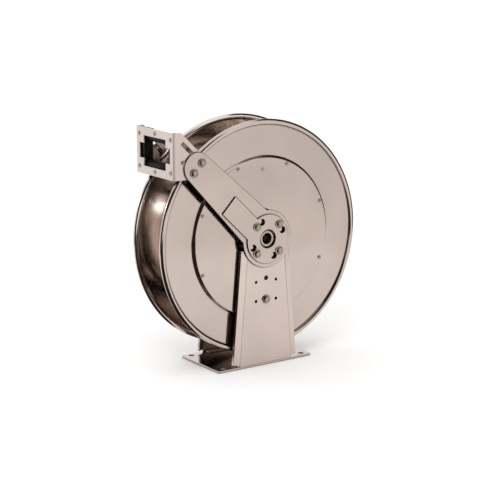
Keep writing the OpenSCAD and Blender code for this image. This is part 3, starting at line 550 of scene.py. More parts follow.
AXIS = Vector(frame["joints"][0]["pos_m"])
OUT_FRONT = Matrix.Translation(AXIS) @ Matrix.Rotation(math.radians(90), 4, "X")
OUT_REAR = Matrix.Translation(AXIS) @ Matrix.Rotation(math.radians(-90), 4, "X")
FACING_FRONT = (math.radians(90), 0, 0)
FACING_REAR = (math.radians(-90), 0, 0)
SIDES = (("front", OUT_FRONT, FACING_FRONT), ("rear", OUT_REAR, FACING_REAR))
HUB_FACE = -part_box("front_hub_plate")[0].y
HUB_BOLTS = 4
HUB_SHANK = 0.015
BOLT_CIRCLE = 0.046
BOLT_STEPS = 40
BOLT_SHANK_R = 0.00475
BOLT_TIP = 0.001
FLANGE_R = 0.0105
FLANGE_EASE = 0.0003
FLANGE_SIDE = 0.0009
FLANGE_H = 0.002
FLANGE_SHARE = 0.98
HEAD_FLATS = 0.0143
HEAD_SINK = 0.0006
HEAD_TOP = 0.0079
HEAD_CHAMFER = 0.0011
HEAD_DISH = 0.0007
CROWN_SHARE = 0.9
DISH_RIM_SHARE = 0.72
DISH_FLOOR_SHARE = 0.6
THREAD_PITCH = 0.0015
THREAD_CREST = 0.0005
THREAD_STEPS = 14
RIDGE_TOP = 0.45
RIDGE_END = 0.9
# The Random Value node's sockets for a plain number.
CHANCE_MOST, CHANCE_RESULT = 3, 1


def around(radius, angle, height):
    """The place at a radius, an angle and a height about Z."""
    return Vector((radius * math.cos(angle), radius * math.sin(angle), height))


def turned(section, steps, closed=True):
    """A bmesh turned about Z from a section of (radius, height) points."""
    bm = bmesh.new()
    angles = [2 * math.pi * i / steps for i in range(steps)]
    rings = []
    for radius, height in section:
        if radius < WELD:
            rings.append([bm.verts.new((0, 0, height))] * steps)
        else:
            rings.append([bm.verts.new(around(radius, a, height)) for a in angles])
    follow = rings[1:] + (rings[:1] if closed else [])
    for ring, after in zip(rings, follow):
        for i in range(steps):
            corners = dict.fromkeys((ring[i - 1], ring[i], after[i], after[i - 1]))
            if len(corners) > 2:
                bm.faces.new(corners)
    bmesh.ops.recalc_face_normals(bm, faces=bm.faces)
    return bm


def smooth(piece, angle=35):
    """Smooth shading, with its sharper edges kept."""
    for face in piece.data.polygons:
        face.use_smooth = True
    piece.data.set_sharp_from_angle(angle=math.radians(angle))
    return piece


def turned_piece(name, section, matrix, material, steps, angle=35):
    """A closed section turned about Z and brought to its place."""
    bm = turned(section, steps)
    bm.transform(matrix)
    return smooth(mesh_object(name, bm, material), angle)


def eased(corners, steps=4):
    """An outline through (x, y, reach) corners, each one eased over its reach."""
    outline = []
    for i, (x, y, reach) in enumerate(corners):
        here = Vector((x, y))
        before = Vector(corners[i - 1][:2])
        after = Vector(corners[(i + 1) % len(corners)][:2])
        if reach == 0:
            outline.append((x, y))
            continue
        start = here + reach * (before - here).normalized()
        end = here + reach * (after - here).normalized()
        for k in range(steps + 1):
            t = k / steps
            outline.append(tuple((1 - t) ** 2 * start + 2 * t * (1 - t) * here + t ** 2 * end))
    return outline


def hexagon_rings(bm, rings):
    """Joins (corner radius, height) hexagons from below upwards, closed at both ends."""
    made = []
    for radius, height in rings:
        made.append([bm.verts.new(around(radius, math.radians(60 * i), height)) for i in range(6)])
    for lower, upper in zip(made, made[1:]):
        for i in range(6):
            bm.faces.new((lower[i - 1], lower[i], upper[i], upper[i - 1]))
    bm.faces.new(list(reversed(made[0])))
    bm.faces.new(made[-1])


def add_thread(bm, radius, length, start, pitch=THREAD_PITCH, crest=THREAD_CREST,
               steps=THREAD_STEPS):
    """A screw thread's ridge, wound round a shank or, with crest below zero, in a bore."""
    turns = length / pitch - 1
    count = int(turns * steps)
    rows = []
    for i in range(count + 1):
        a = 2 * math.pi * i / steps
        rise = start + pitch * i / steps
        top = radius + crest * min(1.0, i / steps, (count - i) / steps)
        ridge = ((radius, 0), (top, pitch * RIDGE_TOP), (radius, pitch * RIDGE_END))
        rows.append([bm.verts.new(around(r, a, rise + z)) for r, z in ridge])
    for row, after in zip(rows, rows[1:]):
        for k in range(2):
            corners = (row[k], after[k], after[k + 1], row[k + 1])
            bm.faces.new(corners if crest > 0 else corners[::-1])


def flange_bolt(name, material, shank_r, shank_l, thread_l=0.0):
    """A hexagon flange bolt: its flange lies on z = 0 and its shank points down."""
    corner = HEAD_FLATS / 2 / math.cos(math.radians(30))
    bm = turned([
        (0, -shank_l), (shank_r - BOLT_TIP, -shank_l), (shank_r, -shank_l + BOLT_TIP), (shank_r, 0),
        (FLANGE_R - FLANGE_EASE, 0), (FLANGE_R, FLANGE_EASE), (FLANGE_R, FLANGE_SIDE),
        (corner * FLANGE_SHARE, FLANGE_H), (0, FLANGE_H)
    ], BOLT_STEPS, closed=False)
    hexagon_rings(bm, [
        (corner, FLANGE_H - HEAD_SINK), (corner, HEAD_TOP - HEAD_CHAMFER),
        (corner * CROWN_SHARE, HEAD_TOP), (corner * DISH_RIM_SHARE, HEAD_TOP),
        (corner * DISH_FLOOR_SHARE, HEAD_TOP - HEAD_DISH)
    ])
    if thread_l:
        add_thread(bm, shank_r, thread_l, -shank_l)
    return smooth(mesh_object(name, bm, material), angle=25)


def group_tree(name, inputs):
    """A Geometry Nodes tree with named inputs and one geometry output."""
    tree = bpy.data.node_groups.new(name, "GeometryNodeTree")
    sockets = {}
    for label, kind in inputs:
        sockets[label] = tree.interface.new_socket(name=label, in_out="INPUT",
                                                   socket_type="NodeSocket" + kind)
    tree.interface.new_socket(name="Geometry", in_out="OUTPUT", socket_type="NodeSocketGeometry")
    return tree, sockets, tree.nodes.new("NodeGroupInput"), tree.nodes.new("NodeGroupOutput")


def end_tree(tree, given, result, geometry):
    """Ends a tree with its copies made real and its finish set."""
    real = tree.nodes.new("GeometryNodeRealizeInstances")
    finish = tree.nodes.new("GeometryNodeSetMaterial")
    tree.links.new(geometry, real.inputs["Geometry"])
    tree.links.new(real.outputs["Geometry"], finish.inputs["Geometry"])
    tree.links.new(given.outputs["Finish"], finish.inputs["Material"])
    tree.links.new(finish.outputs["Geometry"], result.inputs["Geometry"])


def fastener_tree():
    """Puts a fastener on every mark, facing one way, each with its own chance turn."""
    tree, sockets, given, result = group_tree("fasteners_on_marks", [
        ("Marks", "Geometry"), ("Fastener", "Object"), ("Facing", "Vector"),
        ("Chance turn", "Float"), ("Seed", "Int"), ("Finish", "Material")])
    nodes, wire = tree.nodes, tree.links.new
    shape = nodes.new("GeometryNodeObjectInfo")
    placed = nodes.new("GeometryNodeInstanceOnPoints")
    chance = nodes.new("FunctionNodeRandomValue")
    turn = nodes.new("ShaderNodeCombineXYZ")
    turned_round = nodes.new("GeometryNodeRotateInstances")
    chance.data_type = "FLOAT"
    wire(given.outputs["Fastener"], shape.inputs["Object"])
    wire(given.outputs["Marks"], placed.inputs["Points"])
    wire(shape.outputs["Geometry"], placed.inputs["Instance"])
    wire(given.outputs["Facing"], placed.inputs["Rotation"])
    wire(given.outputs["Chance turn"], chance.inputs[CHANCE_MOST])
    wire(given.outputs["Seed"], chance.inputs["Seed"])
    wire(chance.outputs[CHANCE_RESULT], turn.inputs["Z"])
    wire(placed.outputs["Instances"], turned_round.inputs["Instances"])
    wire(turn.outputs["Vector"], turned_round.inputs["Rotation"])
    end_tree(tree, given, result, turned_round.outputs["Instances"])
    return tree, sockets


FASTENERS = fastener_tree()


def settle(piece):
    """Turns a piece's modifiers into plain mesh."""
    bpy.context.view_layer.update()
    graph = bpy.context.evaluated_depsgraph_get()
    finished = bpy.data.meshes.new_from_object(piece.evaluated_get(graph))
    piece.modifiers.clear()
    piece.data = finished


def grow(piece, grower, values):
    """Runs a Geometry Nodes tree on a piece, and keeps what it makes as plain mesh."""
    tree, sockets = grower
    modifier = piece.modifiers.new(tree.name, "NODES")
    modifier.node_group = tree
    for label, value in values.items():
        modifier[sockets[label].identifier] = value
    settle(piece)


def ring_marks(count, radius, matrix, height):
    """Places evenly round a circle at a height, the first of them half a step on."""
    step = 2 * math.pi / count
    return [matrix @ around(radius, step / 2 + step * i, height) for i in range(count)]


def fasteners(name, marks, prototype, facing, material, seed):
    """Copies of a fastener on marks, as one plain mesh."""
    bm = bmesh.new()
    for mark in marks:
        bm.verts.new(mark)
    piece = mesh_object(name, bm, material)
    grow(piece, FASTENERS, {"Fastener": prototype, "Facing": facing, "Chance turn": 2 * math.pi,
                            "Seed": seed, "Finish": material})
    piece.data.materials.clear()
    piece.data.materials.append(material)
    return piece


def bolt_steel_finish():
    """Plated bolt steel: warmer and duller than the sheet, with painted shade in its corners."""
    material, tree, shader = new_material("bolt_steel")
    spots = texture(tree, object_place(tree), scale=420.0, detail=3.0)
    body = mixed(tree, spread(tree, spots, 0.0, 1.0), (0.30, 0.24, 0.20, 1), (0.48, 0.41, 0.35, 1))
    shader.inputs["Metallic"].default_value = 1.0
    coat(tree, shader, corner_shade(tree, body, reach=0.004), spread(tree, spots, 0.2, 0.34),
         bumped(tree, spots, depth=0.00004))
    return material


bolt_steel = bolt_steel_finish()
hub_bolt = flange_bolt("hub_bolt_pattern", bolt_steel, BOLT_SHANK_R, HUB_SHANK)
for (side, matrix, facing), seed in zip(SIDES, (3, 8)):
    marks = ring_marks(HUB_BOLTS, BOLT_CIRCLE, matrix, HUB_FACE)
    bolts = fasteners(side + "_hub_bolts_set", marks, hub_bolt, facing, bolt_steel, seed)
    fit(bolts, "bolt_steel", side + "_hub_bolts")
bpy.data.objects.remove(hub_bolt)

# ---- Bearing carriers --------------------------------------------------------
# The spring arbor in front and the flanged housing behind are turned from plain steel
# and sit inside the pedestals. Plain bronze bushes carry the shaft in them.

TOOL_RINGS = (0.02, 0.0006, 0.02)


def turned_steel(name, colour, roughness):
    """Machined steel: fine tool rings, an even, darker tone and painted shade in its corners."""
    material, tree, shader = new_material(name)
    clouds = texture(tree, object_place(tree), scale=60.0)
    rings = texture(tree, object_place(tree, size=TOOL_RINGS), scale=1.0, detail=1.0)
    body = mixed(tree, spread(tree, clouds, 0.0, 1.0), tone(colour, 0.85), tone(colour, 1.05))
    rough = spread(tree, rings, roughness - 0.05, roughness + 0.05)
    shader.inputs["Metallic"].default_value = 1.0
    coat(tree, shader, corner_shade(tree, body, reach=0.004), rough,
         bumped(tree, rings, depth=0.00003))
    return material


plain_steel = turned_steel("plain_steel", (0.30, 0.27, 0.25), roughness=0.3)
bearing_bronze = turned_steel("bearing_bronze", (0.56, 0.36, 0.16), roughness=0.28)
dress("plain_steel", plain_steel, "spring_arbor", "rear_bearing_housing", width=0.0006)
dress("bearing_bronze", bearing_bronze, "front_bearing", "rear_bearing", width=0.0005)

# ---- Main shaft --------------------------------------------------------------
# A hollow ground shaft, open in front and feeding water from behind, with a plug in the
# middle. A flange and six screws tie it to the rear disc, and a bronze washer runs behind.

ground_steel = turned_steel("ground_steel", (0.44, 0.38, 0.35), roughness=0.2)
dress("plain_steel", ground_steel, "main_shaft", "shaft_plug", "hub_flange", width=0.0005)
dress("bolt_steel", ground_steel, "hub_flange_bolts", width=0.0005)
dress("bearing_bronze", bearing_bronze, "thrust_washer", width=0.0004)

# ---- Side discs --------------------------------------------------------------
# Spun from thin sheet: a flat raised centre, a short sloped step, a flat ring, and a rim
# rolled into a round bead. The polishing wheel leaves fine rings about the axis.

DISC_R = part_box("front_disc")[1].x
CENTRE_FACE = -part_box("front_disc")[0].y
CENTRE_STEP = 0.0085
RING_FACE = CENTRE_FACE - CENTRE_STEP
CENTRE_R = 0.193
STEP_RUN = 0.005
STEP_EASE = 0.0016
STEP_SHIFT = 0.001
SHEET_T = 0.002
HOLE_R = {"front": 0.038, "rear": 0.0191}
BEAD_R = 0.007
BEAD_POINTS = 40
BEAD_LEAD = 0.001
BEAD_DEPTH = 0.0128
# Reach of the painted shade ring at the bead's root: full inside the first, gone beyond the second.
ROOT_SHADE_CORE = 0.0007
ROOT_SHADE_EDGE = 0.0019
RING_GRAIN = 0.0022
ENDLESS = 1e6
GROOVE_LIGHT_FADE = 0.0004
INSIDE = RING_FACE - SHEET_T + GROOVE_LIGHT_FADE
# Lighter tone for the faces inside the groove: painted light.
LIT_GROOVE_TONE = (0.74, 0.66, 0.61)
DISC_STEPS = 288


def spun_steel(name, colour, roughness):
    """Spun and polished sheet: rings about the axis, faint clouding and slight waves. Faces inside
    the groove take a lighter copy of the colour, as painted light; corners carry painted shade, and
    a dark ring of painted shade lies at the bead's root.
    """
    material, tree, shader = new_material(name)
    outwards = tree.nodes.new("ShaderNodeVectorMath")
    outwards.operation = "LENGTH"
    grain = object_place(tree, AXIS, size=(RING_GRAIN, ENDLESS, RING_GRAIN))
    tree.links.new(grain, outwards.inputs[0])
    rings = tree.nodes.new("ShaderNodeTexNoise")
    rings.noise_dimensions = "1D"
    rings.inputs["Scale"].default_value = 1.0
    rings.inputs["Detail"].default_value = 3.0
    tree.links.new(outwards.outputs["Value"], rings.inputs["W"])
    clouds = texture(tree, object_place(tree, AXIS), scale=7.0, detail=4.0)
    waves = texture(tree, object_place(tree, AXIS), scale=3.0, detail=1.5)
    body = mixed(tree, spread(tree, clouds, 0.0, 1.0), tone(colour, 0.93), tone(colour, 1.04))
    # Faces that look into the groove, and the drum, take the lighter tone: painted light that
    # brightens the groove between the discs.
    depth = sum_of(tree, "ABSOLUTE", split(tree, object_place(tree)).outputs["Y"])
    faced = spread(tree, depth, 0.0, 1.0, start=INSIDE, end=INSIDE + GROOVE_LIGHT_FADE)
    colour_with_lit_groove = mixed(tree, faced, tone(LIT_GROOVE_TONE), body)
    ringed = spread(tree, rings.outputs["Fac"], roughness - 0.025, roughness + 0.025)
    rough = sum_of(tree, "ADD", ringed, spread(tree, clouds, -0.025, 0.025))
    under = bumped(tree, waves, depth=0.0009)
    surface = bumped(tree, rings.outputs["Fac"], depth=0.000012, under=under)
    shader.inputs["Metallic"].default_value = 1.0
    coat(tree, shader, corner_shade(tree, colour_with_lit_groove), rough, surface)
    # A ring of painted shade where the bead rises from the ring face.
    off = sum_of(tree, "SUBTRACT", outwards.outputs["Value"], (DISC_R - BEAD_DEPTH) / RING_GRAIN)
    off = sum_of(tree, "ABSOLUTE", off)
    own_colour_share = spread(tree, off, 0.35, 1.0, start=ROOT_SHADE_CORE / RING_GRAIN, end=ROOT_SHADE_EDGE / RING_GRAIN)
    lay_shade_and_oxide(material, own_colour_share)
    return material


def disc_section(hole_r):
    """Closed section of a disc: front face out to the bead, round it, and back inside."""
    middle = RING_FACE - SHEET_T / 2
    join = math.pi - math.asin(SHEET_T / 2 / BEAD_R)
    bead = []
    for i in range(BEAD_POINTS + 1):
        a = join - 2 * join * i / BEAD_POINTS
        bead.append((DISC_R - BEAD_R + BEAD_R * math.cos(a), middle + BEAD_R * math.sin(a)))
    outside = eased([
        (hole_r, CENTRE_FACE - SHEET_T, 0), (hole_r, CENTRE_FACE, 0),
        (CENTRE_R, CENTRE_FACE, STEP_EASE), (CENTRE_R + STEP_RUN, RING_FACE, STEP_EASE),
        (bead[0][0] - BEAD_LEAD, RING_FACE, 0)])
    inside = eased([
        (bead[-1][0] - BEAD_LEAD, RING_FACE - SHEET_T, 0),
        (CENTRE_R + STEP_RUN - STEP_SHIFT, RING_FACE - SHEET_T, STEP_EASE),
        (CENTRE_R - STEP_SHIFT, CENTRE_FACE - SHEET_T, STEP_EASE),
        (hole_r, CENTRE_FACE - SHEET_T, 0)])
    return outside + bead + inside[:-1]


disc_steel = spun_steel("disc_steel", SHEET_TONE, roughness=0.13)
for side, matrix, _ in SIDES:
    section = disc_section(HOLE_R[side])
    disc = turned_piece(side + "_disc_spun", section, matrix, disc_steel, DISC_STEPS, angle=50)
    fit(disc, "disc_steel", side + "_disc")

# ---- Drum --------------------------------------------------------------------
# Rolled from sheet and welded into a tube, with flanges turned inwards at both ends. The
# hose winds on it, between the discs.

DRUM_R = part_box("drum")[1].x
DRUM_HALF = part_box("drum")[1].y
DRUM_FLANGE = 0.014
DRUM_EASE = 0.0015
DRUM_STEPS = 192

drum_steel = spun_steel("drum_steel", SHEET_TONE, roughness=0.2)
drum_section = eased([
    (DRUM_R, -DRUM_HALF, DRUM_EASE), (DRUM_R, DRUM_HALF, DRUM_EASE),
    (DRUM_R - DRUM_FLANGE, DRUM_HALF, 0), (DRUM_R - DRUM_FLANGE, DRUM_HALF - SHEET_T, 0),
    (DRUM_R - SHEET_T, DRUM_HALF - SHEET_T, 0),
    (DRUM_R - SHEET_T, -DRUM_HALF + SHEET_T, 0), (DRUM_R - DRUM_FLANGE, -DRUM_HALF + SHEET_T, 0),
    (DRUM_R - DRUM_FLANGE, -DRUM_HALF, 0)])
drum = turned_piece("drum_rolled", drum_section, OUT_FRONT, drum_steel, DRUM_STEPS)
fit(drum, "disc_steel", "drum")

# ---- Disc screws -------------------------------------------------------------
# Eight slotted cheese-head screws hold each disc to the drum's flange. They are plated
# like the other bolts, and each stops at an angle of its own.

SCREW_COUNT = 8
SCREW_CIRCLE = DRUM_R - DRUM_FLANGE / 3
SCREW_STEPS = 24
SCREW_R = 0.002
SCREW_SHANK = 0.006
SCREW_HEAD_R = 0.004
SCREW_HEAD_H = 0.002
SCREW_SIDE = 0.0012
SCREW_EDGE = 0.0003
SCREW_CROWN = 0.001
SLOT_W = 0.0009
SLOT_DEPTH = 0.0009


def slotted_screw(name, material):
    """A low round head on z = 0, with a slot, on a plain shank."""
    bm = turned([
        (0, -SCREW_SHANK), (SCREW_R, -SCREW_SHANK), (SCREW_R, 0), (SCREW_HEAD_R, 0),
        (SCREW_HEAD_R, SCREW_SIDE), (SCREW_HEAD_R - SCREW_EDGE, SCREW_HEAD_H - SCREW_EDGE),
        (SCREW_HEAD_R - SCREW_CROWN, SCREW_HEAD_H), (0, SCREW_HEAD_H)
    ], SCREW_STEPS, closed=False)
    head = mesh_object(name, bm, material)
    bm = bmesh.new()
    bmesh.ops.create_cube(bm, size=1.0)
    blade = Matrix.Diagonal((5 * SCREW_HEAD_R, SLOT_W, 2 * SLOT_DEPTH, 1))
    bm.transform(Matrix.Translation((0, 0, SCREW_HEAD_H)) @ blade)
    cutter = mesh_object(name + "_cutter", bm, material)
    slot = head.modifiers.new("slot", "BOOLEAN")
    slot.object = cutter
    slot.operation = "DIFFERENCE"
    settle(head)
    bpy.data.objects.remove(cutter)
    return smooth(head, angle=25)


disc_screw = slotted_screw("disc_screw_pattern", bolt_steel)
for (side, matrix, facing), seed in zip(SIDES, (5, 6)):
    marks = ring_marks(SCREW_COUNT, SCREW_CIRCLE, matrix, CENTRE_FACE)
    screws = fasteners(side + "_disc_screws_set", marks, disc_screw, facing, bolt_steel, seed)
    fit(screws, "bolt_steel", side + "_disc_screws")
bpy.data.objects.remove(disc_screw)

# ---- Rewind spring -----------------------------------------------------------
# A flat steel strip wound in a spiral between the arbor and its pressed case. The case
# is riveted to the front disc, so that it winds the spring as the hose is drawn out.

STRIP_T = 0.0012
STRIP_TURNS = 9
SPIRAL_STEPS = 48
ARBOR_R = 0.0345
SPIRAL_IN = ARBOR_R + STRIP_T / 2
STRIP_MIN, STRIP_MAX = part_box("power_spring")
SPIRAL_OUT = STRIP_MAX.x - STRIP_T / 2
STRIP_W = STRIP_MAX.y - STRIP_MIN.y
STRIP_MIDDLE = -(STRIP_MIN.y + STRIP_MAX.y) / 2


def strip_tree():
    """A flat strip wound in a spiral about Z, its width along Z."""
    tree, sockets, given, result = group_tree("wound_strip", [
        ("Turns", "Float"), ("Inner radius", "Float"), ("Outer radius", "Float"),
        ("Thickness", "Float"), ("Width", "Float"), ("Finish", "Material")])
    nodes, wire = tree.nodes, tree.links.new
    spiral = nodes.new("GeometryNodeCurveSpiral")
    upright = nodes.new("GeometryNodeSetCurveNormal")
    strip = nodes.new("GeometryNodeCurvePrimitiveQuadrilateral")
    swept = nodes.new("GeometryNodeCurveToMesh")
    spiral.inputs["Resolution"].default_value = SPIRAL_STEPS
    spiral.inputs["Height"].default_value = 0
    swept.inputs["Fill Caps"].default_value = True
    upright.mode = "Z_UP"
    wire(given.outputs["Turns"], spiral.inputs["Rotations"])
    wire(given.outputs["Inner radius"], spiral.inputs["Start Radius"])
    wire(given.outputs["Outer radius"], spiral.inputs["End Radius"])
    wire(given.outputs["Thickness"], strip.inputs["Width"])
    wire(given.outputs["Width"], strip.inputs["Height"])
    wire(spiral.outputs["Curve"], upright.inputs["Curve"])
    wire(upright.outputs["Curve"], swept.inputs["Curve"])
    wire(strip.outputs["Curve"], swept.inputs["Profile Curve"])
    end_tree(tree, given, result, swept.outputs["Mesh"])
    return tree, sockets


def wound_spring():
    """The strip at its place round the arbor."""
    spring = mesh_object("power_spring_wound", bmesh.new(), plain_steel)
    grow(spring, strip_tree(), {
        "Turns": float(STRIP_TURNS), "Inner radius": SPIRAL_IN, "Outer radius": SPIRAL_OUT,
        "Thickness": STRIP_T, "Width": STRIP_W, "Finish": plain_steel})
    spring.data.transform(OUT_FRONT @ Matrix.Translation((0, 0, STRIP_MIDDLE)))
    return spring


fit(wound_spring(), "plain_steel", "power_spring")
dress("plain_steel", plate_steel, "spring_case", width=0.0005)
dress("bolt_steel", bolt_steel, "spring_anchor", width=0.0005, segments=3)

# ---- Ratchet and latch -------------------------------------------------------
# A notched wheel riveted to the front disc, and a pawl on a shouldered bolt below it. A
# small wire spring leans the pawl towards the notches, to hold the hose where it is drawn.

WIRE_R = 0.0006
COIL_R = 0.0079
COIL_TURNS = 2
COIL_STEPS = 24
PAWL_DROP = 0.15
PAWL_LEAN = math.radians(14.42)
LONG_LEG = Vector((0.026, -0.012, 0))
SHORT_LEG = Vector((-0.018, 0.006, 0))


def pawl_wire():
    """The pawl's spring: round wire in two turns, with a straight leg at each end."""
    low, high = (-corner.y for corner in reversed(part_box("pawl_spring")))
    start = low + WIRE_R
    rise = high - low - 2 * WIRE_R
    count = COIL_TURNS * COIL_STEPS
    route = []
    for i in range(count + 1):
        a = math.radians(90) - PAWL_LEAN - 2 * math.pi * i / COIL_STEPS
        route.append(around(COIL_R, a, start + rise * i / count))
    route = [route[0] + SHORT_LEG] + route + [route[-1] + LONG_LEG]
    curve = bpy.data.curves.new("pawl_spring_wire", "CURVE")
    curve.dimensions = "3D"
    curve.bevel_depth = WIRE_R
    curve.bevel_resolution = 2
    curve.use_fill_caps = True
    curve.materials.append(bolt_steel)
    line = curve.splines.new("POLY")
    line.points.add(len(route) - 1)
    for point, place in zip(line.points, route):
        point.co = (*place, 1)
    wire = link(bpy.data.objects.new("pawl_spring_wire", curve))
    bpy.context.view_layer.update()
    graph = bpy.context.evaluated_depsgraph_get()
    mesh = bpy.data.meshes.new_from_object(wire.evaluated_get(graph))
    bpy.data.objects.remove(wire)
    mesh.transform(OUT_FRONT @ Matrix.Translation((0, -PAWL_DROP, 0)))
    return smooth(link(bpy.data.objects.new("pawl_spring_wound", mesh)), angle=50)


ratchet_steel = turned_steel("ratchet_steel", (0.34, 0.30, 0.28), roughness=0.32)
dress("plain_steel", ratchet_steel, "ratchet_wheel", "latch_pawl", width=0.0005)
dress("bolt_steel", bolt_steel, "ratchet_rivets", "pawl_bolt", "pawl_spacer", "pawl_retainer",
      width=0.0004)
fit(pawl_wire(), "bolt_steel", "pawl_spring")

# ---- Water path --------------------------------------------------------------
# A riser carries the water from the shaft through the drum to a cast elbow, whose
# threaded port lies along the winding, ready for the hose's fitting.

PIPE_PITCH = 0.0018
PIPE_CREST = -0.0008
PIPE_ROOT = 0.00005
PIPE_START = 0.0004
PIPE_STEPS = 48
OUTLET_R = 0.009
OUTLET_L = 0.016


def port_thread(name, radius, length, mouth, material):
    """The thread cut in a port, running in along z from its mouth at the matrix's origin."""
    bm = bmesh.new()
    add_thread(bm, radius + PIPE_ROOT, length, PIPE_START, PIPE_PITCH, PIPE_CREST, PIPE_STEPS)
    bm.transform(mouth)
    return smooth(mesh_object(name, bm, material), angle=25)


fitting_brass = turned_steel("fitting_brass", (0.60, 0.43, 0.20), roughness=0.25)
elbow_low, elbow_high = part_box("outlet_elbow")
outlet_place = (elbow_low + elbow_high) / 2
outlet_place.x = elbow_high.x
outlet_mouth = Matrix.Translation(outlet_place) @ Matrix.Rotation(math.radians(-90), 4, "Y")
fit(port_thread("outlet_port_thread", OUTLET_R, OUTLET_L, outlet_mouth, fitting_brass),
    "fitting_brass", "outlet_elbow")
dress("plain_steel", ground_steel, "outlet_riser", width=0.0004)
dress("fitting_brass", fitting_brass, "outlet_elbow", width=0.0007)

# ---- Guide box ---------------------------------------------------------------
# A bent plate across the arms' ends, with a plus-shaped window for the hose and slots
# for setting its place. A moulded cage behind the window holds the rollers' pins.

BLACK = (0.004, 0.003, 0.003)
RUBBER_BLACK = (0.012, 0.012, 0.012)

bracket_steel = rolled_steel("bracket_steel", tone(SHEET_TONE, 1.05)[:3], 0.36, UPRIGHT_GRAIN,
                             metallic=0.55)
dress("arm_steel", bracket_steel, "roller_bracket", width=0.0005, segments=3)


def moulded(name, colour, roughness, depth):
    """Moulded plastic or rubber: a fine matt grain and slight changes of gloss."""
    material, tree, shader = new_material(name)
    grain = texture(tree, object_place(tree), scale=900.0)
    handling = texture(tree, object_place(tree), scale=35.0, detail=3.0)
    body = mixed(tree, spread(tree, handling, 0.0, 1.0), tone(colour, 0.8), tone(colour, 1.25))
    rough = spread(tree, handling, roughness - 0.06, roughness + 0.06)
    shader.inputs["Specular IOR Level"].default_value = 0.12
    coat(tree, shader, body, rough, bumped(tree, grain, depth))
    return material


cage_plastic = moulded("cage_plastic", BLACK, roughness=0.6, depth=0.00006)
roller_nylon = moulded("roller_nylon", BLACK, roughness=0.5, depth=0.00003)
seal_rubber = moulded("seal_rubber", RUBBER_BLACK, roughness=0.6, depth=0.00005)
dress("roller_nylon", cage_plastic, "roller_cage", width=0.0006, segments=3)
dress("plain_steel", bracket_steel, "cage_retainers", width=0.0003)
dress("plain_steel", ground_steel, "roller_pins", width=0.0004)
dress("bolt_steel", bolt_steel, "cage_rivets", width=0.0006, segments=3)

# ---- Guide rollers -----------------------------------------------------------
# Four black nylon rollers round the window, two level and two upright, each free on its
# pin. Their ends are chamfered and dished where they were parted from the mould.

ROLLER_R = 0.0125
ROLLER_BORE = 0.00406
ROLLER_EDGE = 0.0014
DISH_IN = 0.0062
DISH_OUT = 0.0098
DISH_DEPTH = 0.0006
EDGE_MIDDLE = 0.4 * ROLLER_EDGE
ROLLER_STEPS = 56


def roller(node, along):
    """A roller in its node's place, along axis 1 or 2, which are Y and Z."""
    low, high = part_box(node)
    middle = (low + high) / 2
    half_l = (high[along] - low[along]) / 2
    end = [(ROLLER_BORE, half_l), (DISH_IN, half_l), (DISH_IN + DISH_DEPTH, half_l - DISH_DEPTH),
           (DISH_OUT, half_l - DISH_DEPTH), (DISH_OUT + DISH_DEPTH, half_l)]
    rim = [(ROLLER_R - ROLLER_EDGE, half_l), (ROLLER_R - EDGE_MIDDLE, half_l - EDGE_MIDDLE),
           (ROLLER_R, half_l - ROLLER_EDGE)]
    upper = end + rim
    lower = [(r, -z) for r, z in reversed(upper)]
    turn = Matrix.Rotation(math.radians(90), 4, "X") if along == 1 else Matrix.Identity(4)
    place = Matrix.Translation(middle) @ turn
    return turned_piece(node + "_turned", upper + lower, place, roller_nylon, ROLLER_STEPS)


rollers = {"top_roller": 1, "bottom_roller": 1, "front_roller": 2, "rear_roller": 2}
for node, along in rollers.items():
    fit(roller(node, along), "roller_nylon", node)

# ---- Arm end bolts -----------------------------------------------------------
# Two flange bolts at the end of each arm clamp the guide box through its slots, with
# flange nuts inside. The bolts' threaded ends stand out of the nuts.

ARM_LEN = 0.2735
ARM_FACE = -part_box("front_guide_arm")[0].y
END_GAP = 0.031
END_SHANK = 0.0155
END_THREAD = 0.0085

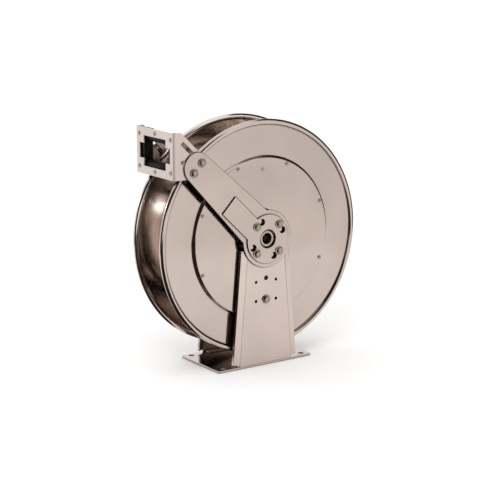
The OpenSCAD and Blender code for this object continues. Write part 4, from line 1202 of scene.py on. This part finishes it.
end_bolt = flange_bolt("end_bolt_pattern", bolt_steel, BOLT_SHANK_R - THREAD_CREST, END_SHANK,
                       END_THREAD)
arm_way = Vector((math.cos(GUIDE_ANGLE), math.sin(GUIDE_ANGLE)))
end_marks = {"front": [], "rear": []}
for across in (-END_GAP / 2, END_GAP / 2):
    x = ARM_LEN * arm_way.x + across * arm_way.y
    z = AXIS.z + ARM_LEN * arm_way.y - across * arm_way.x
    end_marks["front"].append((x, -ARM_FACE, z))
    end_marks["rear"].append((x, ARM_FACE, z))
for (side, _, facing), seed in zip(SIDES, (11, 12)):
    bolts = fasteners(side + "_end_bolts_set", end_marks[side], end_bolt, facing, bolt_steel, seed)
    fit(bolts, "bolt_steel", "arm_end_bolts")
bpy.data.objects.remove(end_bolt)
dress("bolt_steel", bolt_steel, "arm_end_nuts", width=0.0004)

# ---- Inlet swivel ------------------------------------------------------------
# A brass elbow that turns on the shaft's nose: two rubber rings seal it, a circlip holds
# it, and a hexagon cap closes its end. The supply screws into its port from below.

INLET_R = 0.0105
INLET_L = 0.018
INLET_BACK = 0.125
SEAL_WIRE_R = 0.00102
SEAL_RING_R = 0.0161
SEAL_POINTS = 16
SEAL_STEPS = 72

dress("fitting_brass", fitting_brass, "inlet_swivel", "swivel_cap", width=0.0006, segments=3)
dress("plain_steel", plain_steel, "swivel_circlip", width=0.0002)
inlet_mouth = Matrix.Translation((0, INLET_BACK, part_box("inlet_swivel")[0].z))
fit(port_thread("inlet_port_thread", INLET_R, INLET_L, inlet_mouth, fitting_brass),
    "fitting_brass", "inlet_swivel")


def seal_ring(name, middle):
    """A round rubber ring about the shaft's nose."""
    angles = [2 * math.pi * k / SEAL_POINTS for k in range(SEAL_POINTS)]
    section = [(SEAL_RING_R + SEAL_WIRE_R * math.cos(a), middle + SEAL_WIRE_R * math.sin(a))
               for a in angles]
    return turned_piece(name, section, OUT_REAR, seal_rubber, SEAL_STEPS)


seal_low, seal_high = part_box("swivel_seals")
seals = {"inner_seal": seal_low.y + SEAL_WIRE_R, "outer_seal": seal_high.y - SEAL_WIRE_R}
for name, middle in seals.items():
    fit(seal_ring(name, middle), "seal_rubber", "swivel_seals")
